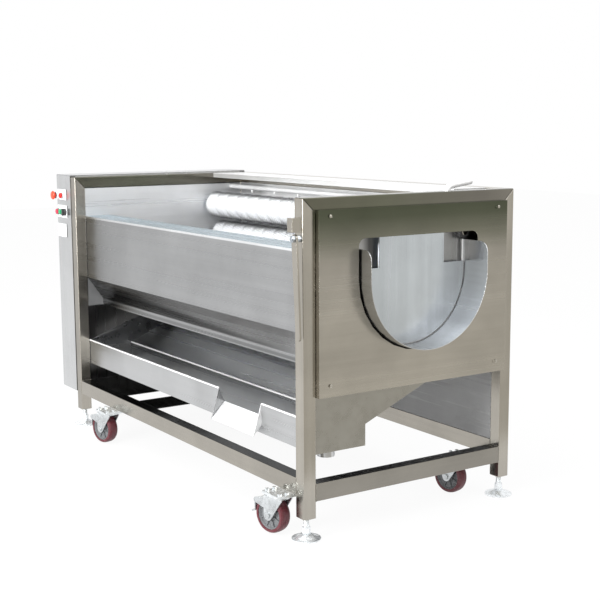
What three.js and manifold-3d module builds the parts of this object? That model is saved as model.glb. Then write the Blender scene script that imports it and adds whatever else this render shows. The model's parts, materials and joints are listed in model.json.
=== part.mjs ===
// Brush-roller washing and peeling machine on a square-tube frame.
// Millimetres, +Z up. While it is built, the origin is the outer front corner of the right-hand
// front leg at the level of the leg ends: +X is the discharge end, -X the drive end, +Y the back.
// At the end the whole machine is moved so that its origin is the middle of its footprint.
import * as THREE from 'three';
import { mergeVertices } from 'three/addons/utils/BufferGeometryUtils.js';
import Module from 'manifold-3d';

const wasm = await Module();
wasm.setup();

// Driving dimensions

// Fits and stock
const fit = 0.3; // gap left between pieces that touch
const overrun = 6; // how far a cut runs past the surface it cuts
const sheet = 2; // stainless sheet
const roundSides = 14;
const smallSides = 10;
const boltSides = 6;

// Square-tube frame
const frameLength = 1570;
const frameWidth = 750;
const legHeight = 880;
const tubeWidth = 40;
const tubeWall = 2;
const legPlate = 6; // plate in the end of a leg, tapped for the foot
const railHeight = 50; // lower rails
const sideRailLift = 63.5; // underside of the front and back rails above the leg ends
const endRailLift = 48;
const baseSheet = 3; // sheet between the lower rails
const baseNotch = [359, 462]; // its notch, from the left-hand end of the frame
const baseEnd = 596;
const baseStrip = 30; // behind the notch
const ventRadius = 4;

// Levelling feet
const footDrop = 60; // leg end above the floor
const padRadius = 42;
const padEdge = 4;
const domeHeight = 12;
const domeRadius = 20;
const footNutRadius = 12;
const footNutHeight = 20;
const stemRadius = 8;
const stemReach = 26; // stem above the leg end
const stemClearance = 0.5;

// Castors
const wheelRadius = 52.5;
const wheelWidth = 36;
const treadDepth = 11;
const treadCrown = 5;
const hubRadius = 13;
const webHalf = 9;
const rimHalf = 16;
const axleRadius = 5;
const axleClearance = 0.4;
const wheelLift = 1.5; // wheel above the floor while the feet carry the machine
const trail = 28;
const castorPlateHalf = 40;
const castorPlateHalfWidth = 35;
const castorPlateThickness = 4;
const mountPlateThickness = 4;
const castorInset = 90; // swivel axis from the right-hand end of the frame
const castorInsetLeft = 338; // swivel axis from the left-hand end of the frame
const castorOverhang = 20; // front swivel axis in front of the rail face
const backCastorInset = 124; // back swivel axis inside the back face of the frame
const boltRadius = 6;
const boltHeight = 6;
const boltAlongShare = 0.82; // bolt places as shares of the half sizes of the plate
const boltAcrossShares = [-0.65, 0.03];
const mountLap = 18; // mounting plate under the rail
const headRadius = 26;
const headThickness = 4.5;
const forkPlate = 3;
const forkPlay = 2; // beside the wheel
const forkBossRadius = 15;
const axleHeadRadius = 9;
const axleHeadHeight = 4;
const pedalPlay = 7; // wheel tread to the pedal pin
const pedalAngle = 38; // degrees, wheel axle to pedal pin
const pedalPinRadius = 4;
const pedalThickness = 4;
const pedalStand = 3; // upright part of the pedal beside the tread
const pedalLugRadius = 8;
const pedalCorner = [1, 24]; // lower and upper corners of the upright part above the axle
const pedalTip = [14, -4]; // foot tip outside and above the axle
const pedalWidth = 30;
const castorTurns = [13.7, 13.7, 10, 10]; // degrees from trailing along -X

// Roller arc
const rollerCount = 8;
const arcInset = 145; // first and last rollers from the faces of the frame
const arcShift = 9; // arc of the rollers behind the middle of the frame
const arcCentreDrop = 228;
const firstAngle = 27.2; // degrees above level, towards the back
const pitchAngle = 30.12; // degrees from one roller to the next
const brushPlay = 1.5; // between neighbouring brushes
const brushEndGap = 10; // brush to the end walls
const coreRadius = 40;
const shaftRadius = 10;
const shaftClearance = 1;
const bearingRadius = 18;
const bearingWidth = 16;
const carrierThickness = 5; // curved plate that carries the bearings of one end wall
const carrierHalf = 14;
const carrierLap = 4; // degrees beyond the outer bearings
const shaftStub = 4; // shaft beyond its right-hand bearing

// Bristle tufts
const tuftedRollers = 3;
const tuftsPerTurn = 10;
const tuftTurns = 10;
const tuftRadius = 5.5;
const tuftTipShare = 0.75;
const tuftEndShare = 0.02; // bare share of the brush at each end

// Drive
const sprocketRadius = 30;
const sprocketWidth = 6;
const chainDepth = 7;
const chainClearance = 0.5;
const beltStep = 12; // degrees between the points of the chain round a sprocket
const sprocketInset = 44; // sprockets from the open side of the cabinet
const shaftTail = 40; // shaft beyond the sprocket
const gearboxSize = 84;
const gearboxLength = 46;
const gearboxCover = 20; // shaft end covered by the gearbox
const motorRadius = 32;
const motorLength = 110;

// Drive cabinet
const cabinetDepth = 130;
const cabinetOverlap = 2; // beyond the frame at front and back
const cabinetBottom = 68;
const cabinetRise = 4; // above the leg tops
const cabinetFlange = 22;
const lidSkirt = 14;

// Control plates and buttons: places on the cabinet front, from its outer side and below its top
const plateThickness = 2;
const upperPlate = { left: 4, right: 92, bottom: 92, top: 53 };
const lowerPlate = { left: 8, right: 97, bottom: 159, top: 113 };
const barePlate = { left: 4, right: 86, bottom: 232, top: 183 };
const upperRowDrop = 76;
const lowerRowDrop = 138;
const stopPlace = 20; // emergency stop from the outer edge
const resetPlace = 56;
const offPlace = 19;
const onPlace = 48;
const selectorPlace = 80;
const mushroomRadius = 16;
const mushroomDepth = 9;
const mushroomStand = 20;
const buttonRadius = 10;
const buttonDepth = 6;
const buttonStand = 6;
const bezelRadius = 13;
const bezelHeight = 4;
const collarHeight = 13;
const buttonStemRadius = 6;
const buttonStemLength = 24;
const buttonClearance = 0.6;
const knobRadius = 9;
const knobDepth = 14;
const knobBarShare = 0.45;

// Trough
const innerWallInset = 10; // right-hand wall from the inner face of the right legs
const leftWallInset = 2; // left-hand wall from the inner face of the left legs
const wallFlange = 20; // flange of the right-hand wall along the legs
const troughDrop = 483;
const rimDrop = 145;
const bendDrop = 375;
const bandDrop = 460;
const bandPlace = 100; // foot of the front wall from the front face of the frame
const apronReach = 145;
const mouthShift = 11; // behind the arc centre
const mouthInset = 120; // side of the mouth from the arc of the rollers
const mouthBottomDrop = 378;
const mouthTopDrop = 90;
const wallDrop = 42;
const wallClearance = 6; // end walls above the slope of the tray

// Discharge duct and end panel
const ductInset = 22; // duct inside the arc of the rollers
const ductEnd = 66; // beyond the frame
const ductDrop = 144;
const ductCorner = 30;
const ductRelief = 1.5; // between the duct and the bearing carriers
const panelProud = 16;
const panelBottomDrop = 541.4;
const panelDrop = 33;
const panelReturn = 15; // side flange behind the face of the frame
const cutClearance = 5; // round the duct
const cutDrop = 115;
const cutCorner = 22;
const screwRadius = 5;
const screwHeight = 2.5;
const screwInset = 42;
const screwTopInset = 18;
const screwBottomInset = 31;

// Discharge gate, lever and bracket
const gateThickness = 2;
const gateGap = 14; // to the right-hand wall
const gateClearance = 5; // inside the duct
const gateNeckHalf = 117;
const gateNeckDrop = 207;
const gateDrop = 100;
const gateShaftRadius = 6;
const gateShaftInset = 13; // shaft from the end face of the frame
const gateShaftDrop = 107;
const gateShaftClearance = 0.5;
const gateShaftTail = 18; // shaft inside the back leg
const leverWidth = 20;
const leverThickness = 6;
const leverGap = 14; // lever from the leg
const leverHubRadius = 12;
const leverReach = [3, 369]; // tip from the end face of the frame and below the leg tops
const shaftNutRadius = 10;
const shaftNutHeight = 7;
const bracketDepth = 30;
const bracketWidth = 25;
const bracketGap = 5; // bracket from the end face of the frame
const bracketDrop = 90;
const bracketHeight = 38;

// Covers and spray pipe
const guardDepth = 165;
const guardLip = 17;
const guardReturn = 26;
const guardEnd = 80; // end of the guard from the end face of the frame
const pipeRadius = 9;
const pipeDrop = 54;
const pipeInset = 82; // from the back face of the frame
const pipeEndInset = 66;
const inletReach = [123, 30]; // upright and mouth of the inlet in front of the pipe
const inletRise = [63, 76];
const nozzleRadius = 5;
const nozzleLength = 12;
const nozzleCount = 8;

// Collecting tray and spout
const trayFloorDrop = 702;
const trayLipDrop = 613;
const trayGutter = 212; // back of the gutter from the front face of the frame
const trayStepDrop = 640;
const trayBackInset = 50; // from the back face of the frame
const trayBackDrop = 430;
const trayEnd = 8; // from the end face of the frame
const trayEndDrop = 500;
const drainInset = 38;
const drainPlace = 98;
const drainRadius = 25;
const drainBore = 22;
const drainLength = 17;
const spoutFrom = 538; // notch from the end face of the frame
const spoutTo = 285;
const spoutOut = 12; // outer edge of the spout from the front face of the frame
const spoutOutDrop = 707;
const spoutInDrop = 658;
const spoutIn = 60;

// Places that follow the width of the frame
const arcRadius = frameWidth / 2 - arcInset;
const arcCentreY = frameWidth / 2 + arcShift;
const halfPitch = THREE.MathUtils.degToRad(pitchAngle / 2);
const brushRadius = arcRadius * Math.sin(halfPitch) - brushPlay / 2;
const mouthCentre = arcCentreY + mouthShift;
const mouthHalf = arcRadius - mouthInset;
const ductRadius = arcRadius - ductInset;
const cutRadius = ductRadius + cutClearance;
const gateRadius = ductRadius - gateClearance;
const guardFront = frameWidth - guardDepth;
const pipePlace = frameWidth - pipeInset;
const inletPlaces = inletReach.map((reach) => pipePlace - reach);
const trayBackPlace = frameWidth - trayBackInset;

// Heights, each hung from the leg tops
const arcCentreZ = legHeight - arcCentreDrop;
const troughBottom = legHeight - troughDrop;
const rimHeight = legHeight - rimDrop;
const bendHeight = legHeight - bendDrop;
const bandHeight = legHeight - bandDrop;
const mouthBottom = legHeight - mouthBottomDrop;
const mouthTop = legHeight - mouthTopDrop;
const wallTop = legHeight - wallDrop;
const ductTop = legHeight - ductDrop;
const panelBottom = legHeight - panelBottomDrop;
const panelTop = legHeight - panelDrop;
const cutTop = legHeight - cutDrop;
const gateNeckBottom = legHeight - gateNeckDrop;
const gateTop = legHeight - gateDrop;
const gateShaftHeight = legHeight - gateShaftDrop;
const bracketBottom = legHeight - bracketDrop;
const pipeHeight = legHeight - pipeDrop;
const trayFloor = legHeight - trayFloorDrop;
const trayLip = legHeight - trayLipDrop;
const trayStep = legHeight - trayStepDrop;
const trayBackHeight = legHeight - trayBackDrop;
const trayEndTop = legHeight - trayEndDrop;
const spoutOutHeight = legHeight - spoutOutDrop;
const spoutInHeight = legHeight - spoutInDrop;
const cabinetTop = legHeight + cabinetRise;
const inletHeights = inletRise.map((rise) => pipeHeight + rise);
const leverTip = [leverReach[0], legHeight - leverReach[1]];
const upperRow = cabinetTop - upperRowDrop;
const lowerRow = cabinetTop - lowerRowDrop;

// Inner faces and planes of the frame
const rightInner = -tubeWidth;
const frameLeft = -frameLength;
const leftInner = frameLeft + tubeWidth;
const backInner = frameWidth - tubeWidth;
const rightWall = rightInner - innerWallInset - sheet;
const leftWall = leftInner - leftWallInset - sheet;
const brushRight = rightWall - brushEndGap;
const brushLeft = leftWall + sheet + brushEndGap;
const cabinetRight = frameLeft - fit;
const cabinetLeft = frameLeft - fit - cabinetDepth;
const cabinetFront = -cabinetOverlap;
const cabinetBack = frameWidth + cabinetOverlap;
const sprocketPlane = cabinetRight - sprocketInset;
const shaftLeft = sprocketPlane - sprocketWidth - shaftTail;
const shaftRight = rightWall + sheet + fit + bearingWidth + shaftStub;
const gateShaftX = -gateShaftInset;
const rollerCentres = [];
for (let k = 0; k < rollerCount; k += 1) {
  const angle = THREE.MathUtils.degToRad(firstAngle - k * pitchAngle);
  const y = arcCentreY + arcRadius * Math.cos(angle);
  rollerCentres.push([y, arcCentreZ + arcRadius * Math.sin(angle)]);
}
const traySlope = (trayBackHeight - trayStep) / (trayBackPlace - trayGutter);
const trayHeightAt = (y) => trayStep + traySlope * (y - trayGutter);

// Axis helpers: a prism's outline is given in the two other axes, in the order x, y, z.
const basis = {
  x: [new THREE.Vector3(0, 1, 0), new THREE.Vector3(0, 0, 1), new THREE.Vector3(1, 0, 0)],
  y: [new THREE.Vector3(1, 0, 0), new THREE.Vector3(0, 0, 1), new THREE.Vector3(0, 1, 0)],
  z: [new THREE.Vector3(1, 0, 0), new THREE.Vector3(0, 1, 0), new THREE.Vector3(0, 0, 1)],
};

// A closed geometry as a solid that can be joined and cut.
function solidOf(geometry) {
  const bare = geometry.clone();
  bare.deleteAttribute('normal');
  bare.deleteAttribute('uv');
  const merged = mergeVertices(bare);
  return new wasm.Manifold(
    new wasm.Mesh({
      numProp: 3,
      vertProperties: new Float32Array(merged.attributes.position.array),
      triVerts: new Uint32Array(merged.index.array),
    }),
  );
}

function turnedInsideOut(geometry) {
  const index = geometry.index ? geometry : mergeVertices(geometry);
  const order = index.index.array;
  for (let i = 0; i < order.length; i += 3) {
    [order[i + 1], order[i + 2]] = [order[i + 2], order[i + 1]];
  }
  return index;
}

// A prism along an axis between two places, with any holes in its outline.
function prism(axis, outline, from, to, holes = []) {
  const shape = new THREE.Shape(outline.map(([a, b]) => new THREE.Vector2(a, b)));
  for (const hole of holes) {
    shape.holes.push(new THREE.Path(hole.map(([a, b]) => new THREE.Vector2(a, b))));
  }
  const length = to - from;
  let geometry = new THREE.ExtrudeGeometry(shape, { depth: length, bevelEnabled: false });
  geometry.translate(0, 0, from);
  geometry.applyMatrix4(new THREE.Matrix4().makeBasis(...basis[axis]));
  geometry.deleteAttribute('normal');
  geometry.deleteAttribute('uv');
  if (axis === 'y') {
    geometry = turnedInsideOut(geometry);
  }
  return solidOf(geometry);
}

function box([x0, x1], [y0, y1], [z0, z1]) {
  const geometry = new THREE.BoxGeometry(x1 - x0, y1 - y0, z1 - z0);
  geometry.translate((x0 + x1) / 2, (y0 + y1) / 2, (z0 + z1) / 2);
  return solidOf(geometry);
}

function circle([a, b], radius, sides = roundSides, turn = 0) {
  const points = [];
  for (let i = 0; i < sides; i += 1) {
    const angle = turn + (i / sides) * 2 * Math.PI;
    points.push([a + radius * Math.cos(angle), b + radius * Math.sin(angle)]);
  }
  return points;
}

function rod(axis, centre, radius, from, to, sides = roundSides) {
  return prism(axis, circle(centre, radius, sides), from, to);
}

// The outline of a bore whose flats, not its corners, lie at the radius.
function boreOutline(centre, radius, sides = smallSides) {
  return circle(centre, radius / Math.cos(Math.PI / sides), sides);
}

function bore(axis, centre, radius, from, to) {
  return prism(axis, boreOutline(centre, radius), from, to);
}

// The points of an arc round a centre, from one angle to another in degrees.
function arc([a, b], radius, from, to, steps) {
  const points = [];
  for (let i = 0; i <= steps; i += 1) {
    const angle = THREE.MathUtils.degToRad(from + ((to - from) * i) / steps);
    points.push([a + radius * Math.cos(angle), b + radius * Math.sin(angle)]);
  }
  return points;
}

// The outline of folded sheet: a line and its parallel on the left, at one thickness.
function folded(line, thickness) {
  const side = line.map((point, i) => {
    const before = line[Math.max(i - 1, 0)];
    const after = line[Math.min(i + 1, line.length - 1)];
    const unit = ([a0, b0], [a1, b1]) => {
      const length = Math.hypot(a1 - a0, b1 - b0) || 1;
      return [(a1 - a0) / length, (b1 - b0) / length];
    };
    const ahead = unit(point, after);
    const behind = unit(before, point);
    const one = i === 0 ? ahead : behind;
    const two = i === line.length - 1 ? behind : ahead;
    const lean = 1 + one[0] * two[0] + one[1] * two[1];
    const across = [-(one[1] + two[1]) / lean, (one[0] + two[0]) / lean];
    return [point[0] + across[0] * thickness, point[1] + across[1] * thickness];
  });
  return [...line, ...side.reverse()];
}

const join = (...solids) => solids.reduce((whole, solid) => whole.add(solid));
const cut = (solid, ...tools) => tools.reduce((whole, tool) => whole.subtract(tool), solid);

// Materials by finish
const machine = new THREE.Group();
const finishes = {
  polished: { color: 0xc9ccd2, roughness: 0.18, metalness: 1 },
  brushed: { color: 0xb9bcc2, roughness: 0.35, metalness: 1 },
  galvanised: { color: 0xc2c6ca, roughness: 0.42, metalness: 0.9 },
  nylon: { color: 0xf2f4fa, roughness: 0.6, metalness: 0 },
  tread: { color: 0x8f1626, roughness: 0.45, metalness: 0 },
  black: { color: 0x17181a, roughness: 0.5, metalness: 0 },
  red: { color: 0xd0261c, roughness: 0.35, metalness: 0 },
  purple: { color: 0xa32a4e, roughness: 0.35, metalness: 0 },
  green: { color: 0x1f9a54, roughness: 0.35, metalness: 0 },
  plate: { color: 0xe4e6e8, roughness: 0.4, metalness: 0.2 },
  chain: { color: 0x4c4d50, roughness: 0.5, metalness: 0.8 },
  motor: { color: 0x55606c, roughness: 0.55, metalness: 0.3 },
};

function add(name, solid, finish, parent = machine) {
  const mesh = solid.getMesh();
  const geometry = new THREE.BufferGeometry();
  geometry.setAttribute('position', new THREE.BufferAttribute(mesh.vertProperties, mesh.numProp));
  geometry.setIndex(new THREE.BufferAttribute(mesh.triVerts, 1));
  geometry.computeVertexNormals();
  const piece = new THREE.Mesh(geometry, new THREE.MeshStandardMaterial(finishes[finish]));
  piece.name = name;
  parent.add(piece);
  return piece;
}

// Legs, mitred to the end rails at the top, hollow and open below through the bore of the foot
const mitre = fit * Math.SQRT2;
const gateShaftHole = (from, to) => bore(
  'y',
  [gateShaftX, gateShaftHeight],
  gateShaftRadius + gateShaftClearance,
  from,
  to,
);
const legMiddles = {
  right: -tubeWidth / 2,
  left: frameLeft + tubeWidth / 2,
  front: tubeWidth / 2,
  back: frameWidth - tubeWidth / 2,
};

function leg(side, face) {
  const x0 = legMiddles[side] - tubeWidth / 2;
  const outer = face === 'front' ? 0 : frameWidth;
  const inner = face === 'front' ? tubeWidth : backInner;
  const outline = [
    [outer, 0],
    [inner, 0],
    [inner, legHeight - tubeWidth],
    [outer, legHeight],
  ];
  const whole = prism('x', outline, x0, x0 + tubeWidth);
  const y = legMiddles[face];
  const half = tubeWidth / 2 - tubeWall;
  const hollow = box(
    [x0 + tubeWall, x0 + tubeWidth - tubeWall],
    [y - half, y + half],
    [legPlate, legHeight - tubeWidth - tubeWall],
  );
  const footBore = bore(
    'z',
    [legMiddles[side], y],
    stemRadius + stemClearance,
    -overrun,
    legPlate + overrun,
  );
  return cut(whole, hollow, footBore);
}

// Folded bracket welded to the front of the right-hand front leg, over the gate lever
const bracketRight = -bracketGap;
const bracket = cut(
  box(
    [bracketRight - bracketWidth, bracketRight],
    [-bracketDepth, tubeWall / 2],
    [bracketBottom, bracketBottom + bracketHeight],
  ),
  box(
    [bracketRight - bracketWidth + sheet, bracketRight - sheet],
    [-bracketDepth + sheet, 0],
    [bracketBottom - overrun, bracketBottom + bracketHeight - sheet],
  ),
);

add(
  'leg_front_right',
  cut(join(leg('right', 'front'), bracket), gateShaftHole(-overrun, tubeWidth + overrun)),
  'polished',
);
add(
  'leg_back_right',
  cut(leg('right', 'back'), gateShaftHole(backInner - overrun, backInner + gateShaftTail + overrun)),
  'polished',
);
add('leg_front_left', leg('left', 'front'), 'polished');
add('leg_back_left', leg('left', 'back'), 'polished');

// Top rails
function endTopRail(x0) {
  const outline = [
    [mitre, legHeight],
    [tubeWidth + mitre, legHeight - tubeWidth],
    [backInner - mitre, legHeight - tubeWidth],
    [frameWidth - mitre, legHeight],
  ];
  const hollow = box(
    [x0 + tubeWall, x0 + tubeWidth - tubeWall],
    [tubeWidth + tubeWall, backInner - tubeWall],
    [legHeight - tubeWidth + tubeWall, legHeight - tubeWall],
  );
  const vent = rod(
    'z',
    [x0 + tubeWidth / 2, frameWidth / 2],
    ventRadius,
    legHeight - tubeWidth - overrun,
    legHeight - tubeWidth + overrun,
    smallSides,
  );
  return cut(prism('x', outline, x0, x0 + tubeWidth), hollow, vent);
}

// A square tube along an axis, open at both ends
function tubeAlong(axis, [a0, a1], [b0, b1], from, to) {
  const outer = [[a0, b0], [a1, b0], [a1, b1], [a0, b1]];
  const [c0, c1, d0, d1] = [a0 + tubeWall, a1 - tubeWall, b0 + tubeWall, b1 - tubeWall];
  const inner = [[c0, d0], [c1, d0], [c1, d1], [c0, d1]];
  return prism(axis, outer, from, to, [inner]);
}

add('top_rail_right', endTopRail(rightInner), 'polished');
add('top_rail_left', endTopRail(frameLeft), 'polished');
add(
  'top_rail_back',
  tubeAlong(
    'x',
    [backInner, frameWidth],
    [legHeight - tubeWidth, legHeight],
    leftInner + fit,
    rightInner - fit,
  ),
  'polished',
);

// Castor places, and which rail carries each
const castorX = { right: -castorInset, left: frameLeft + castorInsetLeft };
const castorY = { front: -castorOverhang, back: frameWidth - backCastorInset };
const mountBottom = sideRailLift - mountPlateThickness;
const castorPlateBottom = mountBottom - castorPlateThickness;

function castorMount(x, face) {
  const y = castorY[face];
  const inward = face === 'front' ? 1 : -1;
  const railEdge = face === 'front' ? mountLap : backInner + mountLap;
  const plateEnds = [y - castorPlateHalfWidth, railEdge];
  const along = [x - castorPlateHalf, x + castorPlateHalf];
  const pieces = [
    box(along, plateEnds, [mountBottom, sideRailLift]),
    box(
      along,
      [y - castorPlateHalfWidth, y + castorPlateHalfWidth],
      [castorPlateBottom, mountBottom],
    ),
  ];
  for (const side of [-1, 1]) {
    for (const share of boltAcrossShares) {
      const place = [
        x + side * boltAlongShare * castorPlateHalf,
        y + inward * share * castorPlateHalfWidth,
      ];
      const ends = [castorPlateBottom - boltHeight + castorPlateThickness / 2, sideRailLift + boltHeight];
      pieces.push(rod('z', place, boltRadius, ends[0], ends[1], boltSides));
    }
  }
  return join(...pieces);
}

// Lower rails: those at the front and back carry the castor plates
function sideRail(face) {
  const y = face === 'front' ? [0, tubeWidth] : [backInner, frameWidth];
  const tube = tubeAlong(
    'x',
    y,
    [sideRailLift, sideRailLift + railHeight],
    leftInner + fit,
    rightInner - fit,
  );
  return join(tube, castorMount(castorX.right, face), castorMount(castorX.left, face));
}

function endRail(x0) {
  const outer = [
    [x0, endRailLift],
    [x0 + tubeWidth, endRailLift],
    [x0 + tubeWidth, endRailLift + railHeight],
    [x0, endRailLift + railHeight],
  ];
  const inner = [
    [x0 + tubeWall, endRailLift + tubeWall],
    [x0 + tubeWidth - tubeWall, endRailLift + tubeWall],
    [x0 + tubeWidth - tubeWall, endRailLift + railHeight - tubeWall],
    [x0 + tubeWall, endRailLift + railHeight - tubeWall],
  ];
  return prism('y', outer, tubeWidth + fit, backInner - fit, [inner]);
}

add('bottom_rail_front', sideRail('front'), 'polished');
add('bottom_rail_back', sideRail('back'), 'polished');
add('bottom_rail_right', endRail(rightInner), 'polished');
add('bottom_rail_left', endRail(frameLeft), 'polished');

// Notched sheet flush with the tops of the front and back rails
const baseTop = sideRailLift + railHeight;
const baseFront = tubeWidth + fit;
const baseBack = backInner - fit;
const [notchLeft, notchRight] = baseNotch.map((reach) => frameLeft + reach);
const baseOutline = [
  [leftInner + fit, baseFront],
  [notchLeft, baseFront],
  [notchLeft, baseBack - baseStrip],
  [notchRight, baseBack - baseStrip],
  [notchRight, baseFront],
  [frameLeft + baseEnd, baseFront],
  [frameLeft + baseEnd, baseBack],
  [leftInner + fit, baseBack],
];
add('base_sheet', prism('z', baseOutline, baseTop - baseSheet, baseTop), 'polished');

// A turned piece about the y axis of its own frame, from a profile of radius and height.
function turned(profile, segments) {
  const points = profile.map(([radius, height]) => new THREE.Vector2(radius, height));
  const geometry = new THREE.LatheGeometry(points, segments);
  geometry.deleteAttribute('normal');
  geometry.deleteAttribute('uv');
  const solid = solidOf(geometry);
  return solid.volume() < 0 ? solidOf(turnedInsideOut(geometry)) : solid;
}

// Levelling feet
const floor = -footDrop;
const padTop = floor + padEdge + domeHeight;
const footProfile = [
  [0, floor],
  [padRadius, floor],
  [padRadius, floor + padEdge],
  [(padRadius + domeRadius) / 2, floor + padEdge + domeHeight * 0.65],
  [domeRadius, padTop],
  [stemRadius, padTop],
  [stemRadius, stemReach],
  [0, stemReach],
];
for (const side of ['right', 'left']) {
  for (const face of ['front', 'back']) {
    const foot = turned(footProfile, roundSides).rotate([90, 0, 0]);
    const nut = rod('z', [0, 0], footNutRadius, padTop - padEdge, padTop + footNutHeight, boltSides);
    const piece = add('foot_' + face + '_' + side, join(foot, nut), 'galvanised');
    piece.position.set(legMiddles[side], legMiddles[face], 0);
  }
}

// Castors: each is built about its swivel axis with the wheel trailing along -X
const wheelHeight = floor + wheelLift + wheelRadius;
const headTop = castorPlateBottom - fit;
const crownTop = headTop - headThickness;
const forkInner = wheelWidth / 2 + forkPlay;
const forkOuter = forkInner + forkPlate;
const wheelPlace = [-trail, wheelHeight];
const pinAngle = THREE.MathUtils.degToRad(pedalAngle);
const pinReach = wheelRadius + pedalPlay;
const pinPlace = [
  wheelPlace[0] - pinReach * Math.cos(pinAngle),
  wheelPlace[1] + pinReach * Math.sin(pinAngle),
];

function fork(braked) {
  const boss = arc(wheelPlace, forkBossRadius, 180, 330, 6);
  const cheek = [
    [headRadius, crownTop],
    [wheelPlace[0] - forkBossRadius, crownTop],
    ...boss,
    [headRadius, crownTop - 2 * forkPlate],
  ];
  const lug = [
    [wheelPlace[0], crownTop],
    ...arc(pinPlace, pedalLugRadius, 90, 270, 5),
    [wheelPlace[0], wheelPlace[1] + forkBossRadius],
  ];
  const pieces = [
    rod('z', [0, 0], headRadius, crownTop - forkPlate / 2, headTop),
    box(
      [wheelPlace[0] - forkBossRadius, headRadius],
      [-forkOuter, forkOuter],
      [crownTop - forkPlate, crownTop],
    ),
    rod('y', wheelPlace, axleRadius, -forkOuter, forkOuter, smallSides),
  ];
  for (const [from, to] of [[-forkOuter, -forkInner], [forkInner, forkOuter]]) {
    pieces.push(prism('y', cheek, from, to));
    if (braked) {
      pieces.push(prism('y', lug, from, to));
    }
  }
  pieces.push(rod('y', wheelPlace, axleHeadRadius, -forkOuter - axleHeadHeight, -forkOuter, boltSides));
  pieces.push(rod('y', wheelPlace, axleHeadRadius, forkOuter, forkOuter + axleHeadHeight, boltSides));
  return join(...pieces);
}

function wheel() {
  const boreRadius = (axleRadius + axleClearance) / Math.cos(Math.PI / roundSides);
  const hubHalf = forkInner - fit;
  const rimRadius = wheelRadius - treadDepth;
  const half = [
    [boreRadius, hubHalf],
    [hubRadius, hubHalf],
    [hubRadius, webHalf],
    [rimRadius - (rimHalf - webHalf), webHalf],
    [rimRadius, rimHalf],
    [rimRadius, wheelWidth / 2],
    [wheelRadius - treadCrown, wheelWidth / 2],
    [wheelRadius, wheelWidth / 2 - treadCrown],
  ];
  const mirrored = half.map(([radius, height]) => [radius, -height]).reverse();
  return turned([...half, ...mirrored, half[0]], roundSides);
}

function pedal() {
  const upright = wheelPlace[0] - wheelRadius - pedalStand;
  const line = [
    [wheelPlace[0] - wheelRadius - pedalStand - pedalTip[0], wheelPlace[1] + pedalTip[1]],
    [upright, wheelPlace[1] + pedalCorner[0]],
    [upright, wheelPlace[1] + pedalCorner[1]],
    pinPlace,
  ];
  return join(
    prism('y', folded(line, pedalThickness), -pedalWidth / 2, pedalWidth / 2),
    rod('y', pinPlace, pedalPinRadius, -forkInner + fit, forkInner - fit, smallSides),
  );
}

const castorPlaces = [['front', 'right'], ['front', 'left'], ['back', 'right'], ['back', 'left']];
castorPlaces.forEach(([face, side], i) => {
  const castor = new THREE.Group();
  castor.position.set(castorX[side], castorY[face], 0);
  castor.rotation.z = THREE.MathUtils.degToRad(castorTurns[i]);
  machine.add(castor);
  const name = face + '_' + side;
  const braked = face === 'front';
  add('castor_fork_' + name, fork(braked), 'galvanised', castor);
  const tyre = add('castor_wheel_' + name, wheel(), 'tread', castor);
  tyre.position.set(wheelPlace[0], 0, wheelPlace[1]);
  if (braked) {
    add('brake_pedal_' + name, pedal(), 'black', castor);
  }
});

// End panel: a shallow tray between the right-hand legs, with a cut-out round the duct
const betweenLegs = [tubeWidth + fit, backInner - fit];

// The outline of an opening with a round bottom, straight sides and rounded upper corners.
function archOutline(centre, radius, top, corner) {
  return [
    ...arc(centre, radius, 180, 360, roundSides),
    ...arc([centre[0] + radius - corner, top - corner], corner, 0, 90, 4),
    ...arc([centre[0] - radius + corner, top - corner], corner, 90, 180, 4),
  ];
}

const panelBack = panelProud - sheet;
const panelShell = cut(
  box([0, panelProud], betweenLegs, [panelBottom, panelTop]),
  box(
    [-overrun, panelBack],
    [betweenLegs[0] + sheet, betweenLegs[1] - sheet],
    [panelBottom + sheet, panelTop - sheet],
  ),
);
const panelFlanges = [
  [betweenLegs[0], betweenLegs[0] + sheet],
  [betweenLegs[1] - sheet, betweenLegs[1]],
].map((y) => box([-panelReturn, panelBack], y, [panelBottom, legHeight - tubeWidth - fit]));
const screws = [];
for (const y of [tubeWidth + screwInset, backInner - screwInset + fit]) {
  for (const z of [panelTop - screwTopInset, panelBottom + screwBottomInset]) {
    screws.push(rod('x', [y, z], screwRadius, panelBack, panelProud + screwHeight, smallSides));
  }
}
const panelOpening = prism(
  'x',
  archOutline([arcCentreY, arcCentreZ], cutRadius, cutTop, cutCorner),
  -overrun,
  panelProud + overrun,
);
add(
  'end_panel',
  cut(
    join(panelShell, ...panelFlanges, ...screws),
    panelOpening,
    gateShaftHole(betweenLegs[0] - overrun, betweenLegs[0] + overrun),
    gateShaftHole(betweenLegs[1] - overrun, betweenLegs[1] + overrun),
  ),
  'polished',
);

// End walls of the trough
const lowerMeet = trayGutter + (troughBottom - wallClearance - trayStep) / traySlope;
const wallOutline = [
  [betweenLegs[0], troughBottom],
  [lowerMeet, troughBottom],
  [betweenLegs[1], trayHeightAt(betweenLegs[1]) + wallClearance],
  [betweenLegs[1], wallTop],
  [betweenLegs[0], wallTop],
];
const shaftHoles = rollerCentres.map((centre) => boreOutline(centre, shaftRadius + shaftClearance));
const mouth = archOutline([mouthCentre, mouthBottom + mouthHalf], mouthHalf, mouthTop, cutCorner);

function endWall(x0, flangeFrom, flangeTo, holes) {
  const plate = prism('x', wallOutline, x0, x0 + sheet, holes);
  const flanges = [
    box(
      [flangeFrom, flangeTo],
      [betweenLegs[0], betweenLegs[0] + sheet],
      [troughBottom, wallTop],
    ),
    box(
      [flangeFrom, flangeTo],
      [betweenLegs[1] - sheet, betweenLegs[1]],
      [trayHeightAt(betweenLegs[1]) + wallClearance, wallTop],
    ),
  ];
  return join(plate, ...flanges);
}

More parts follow.
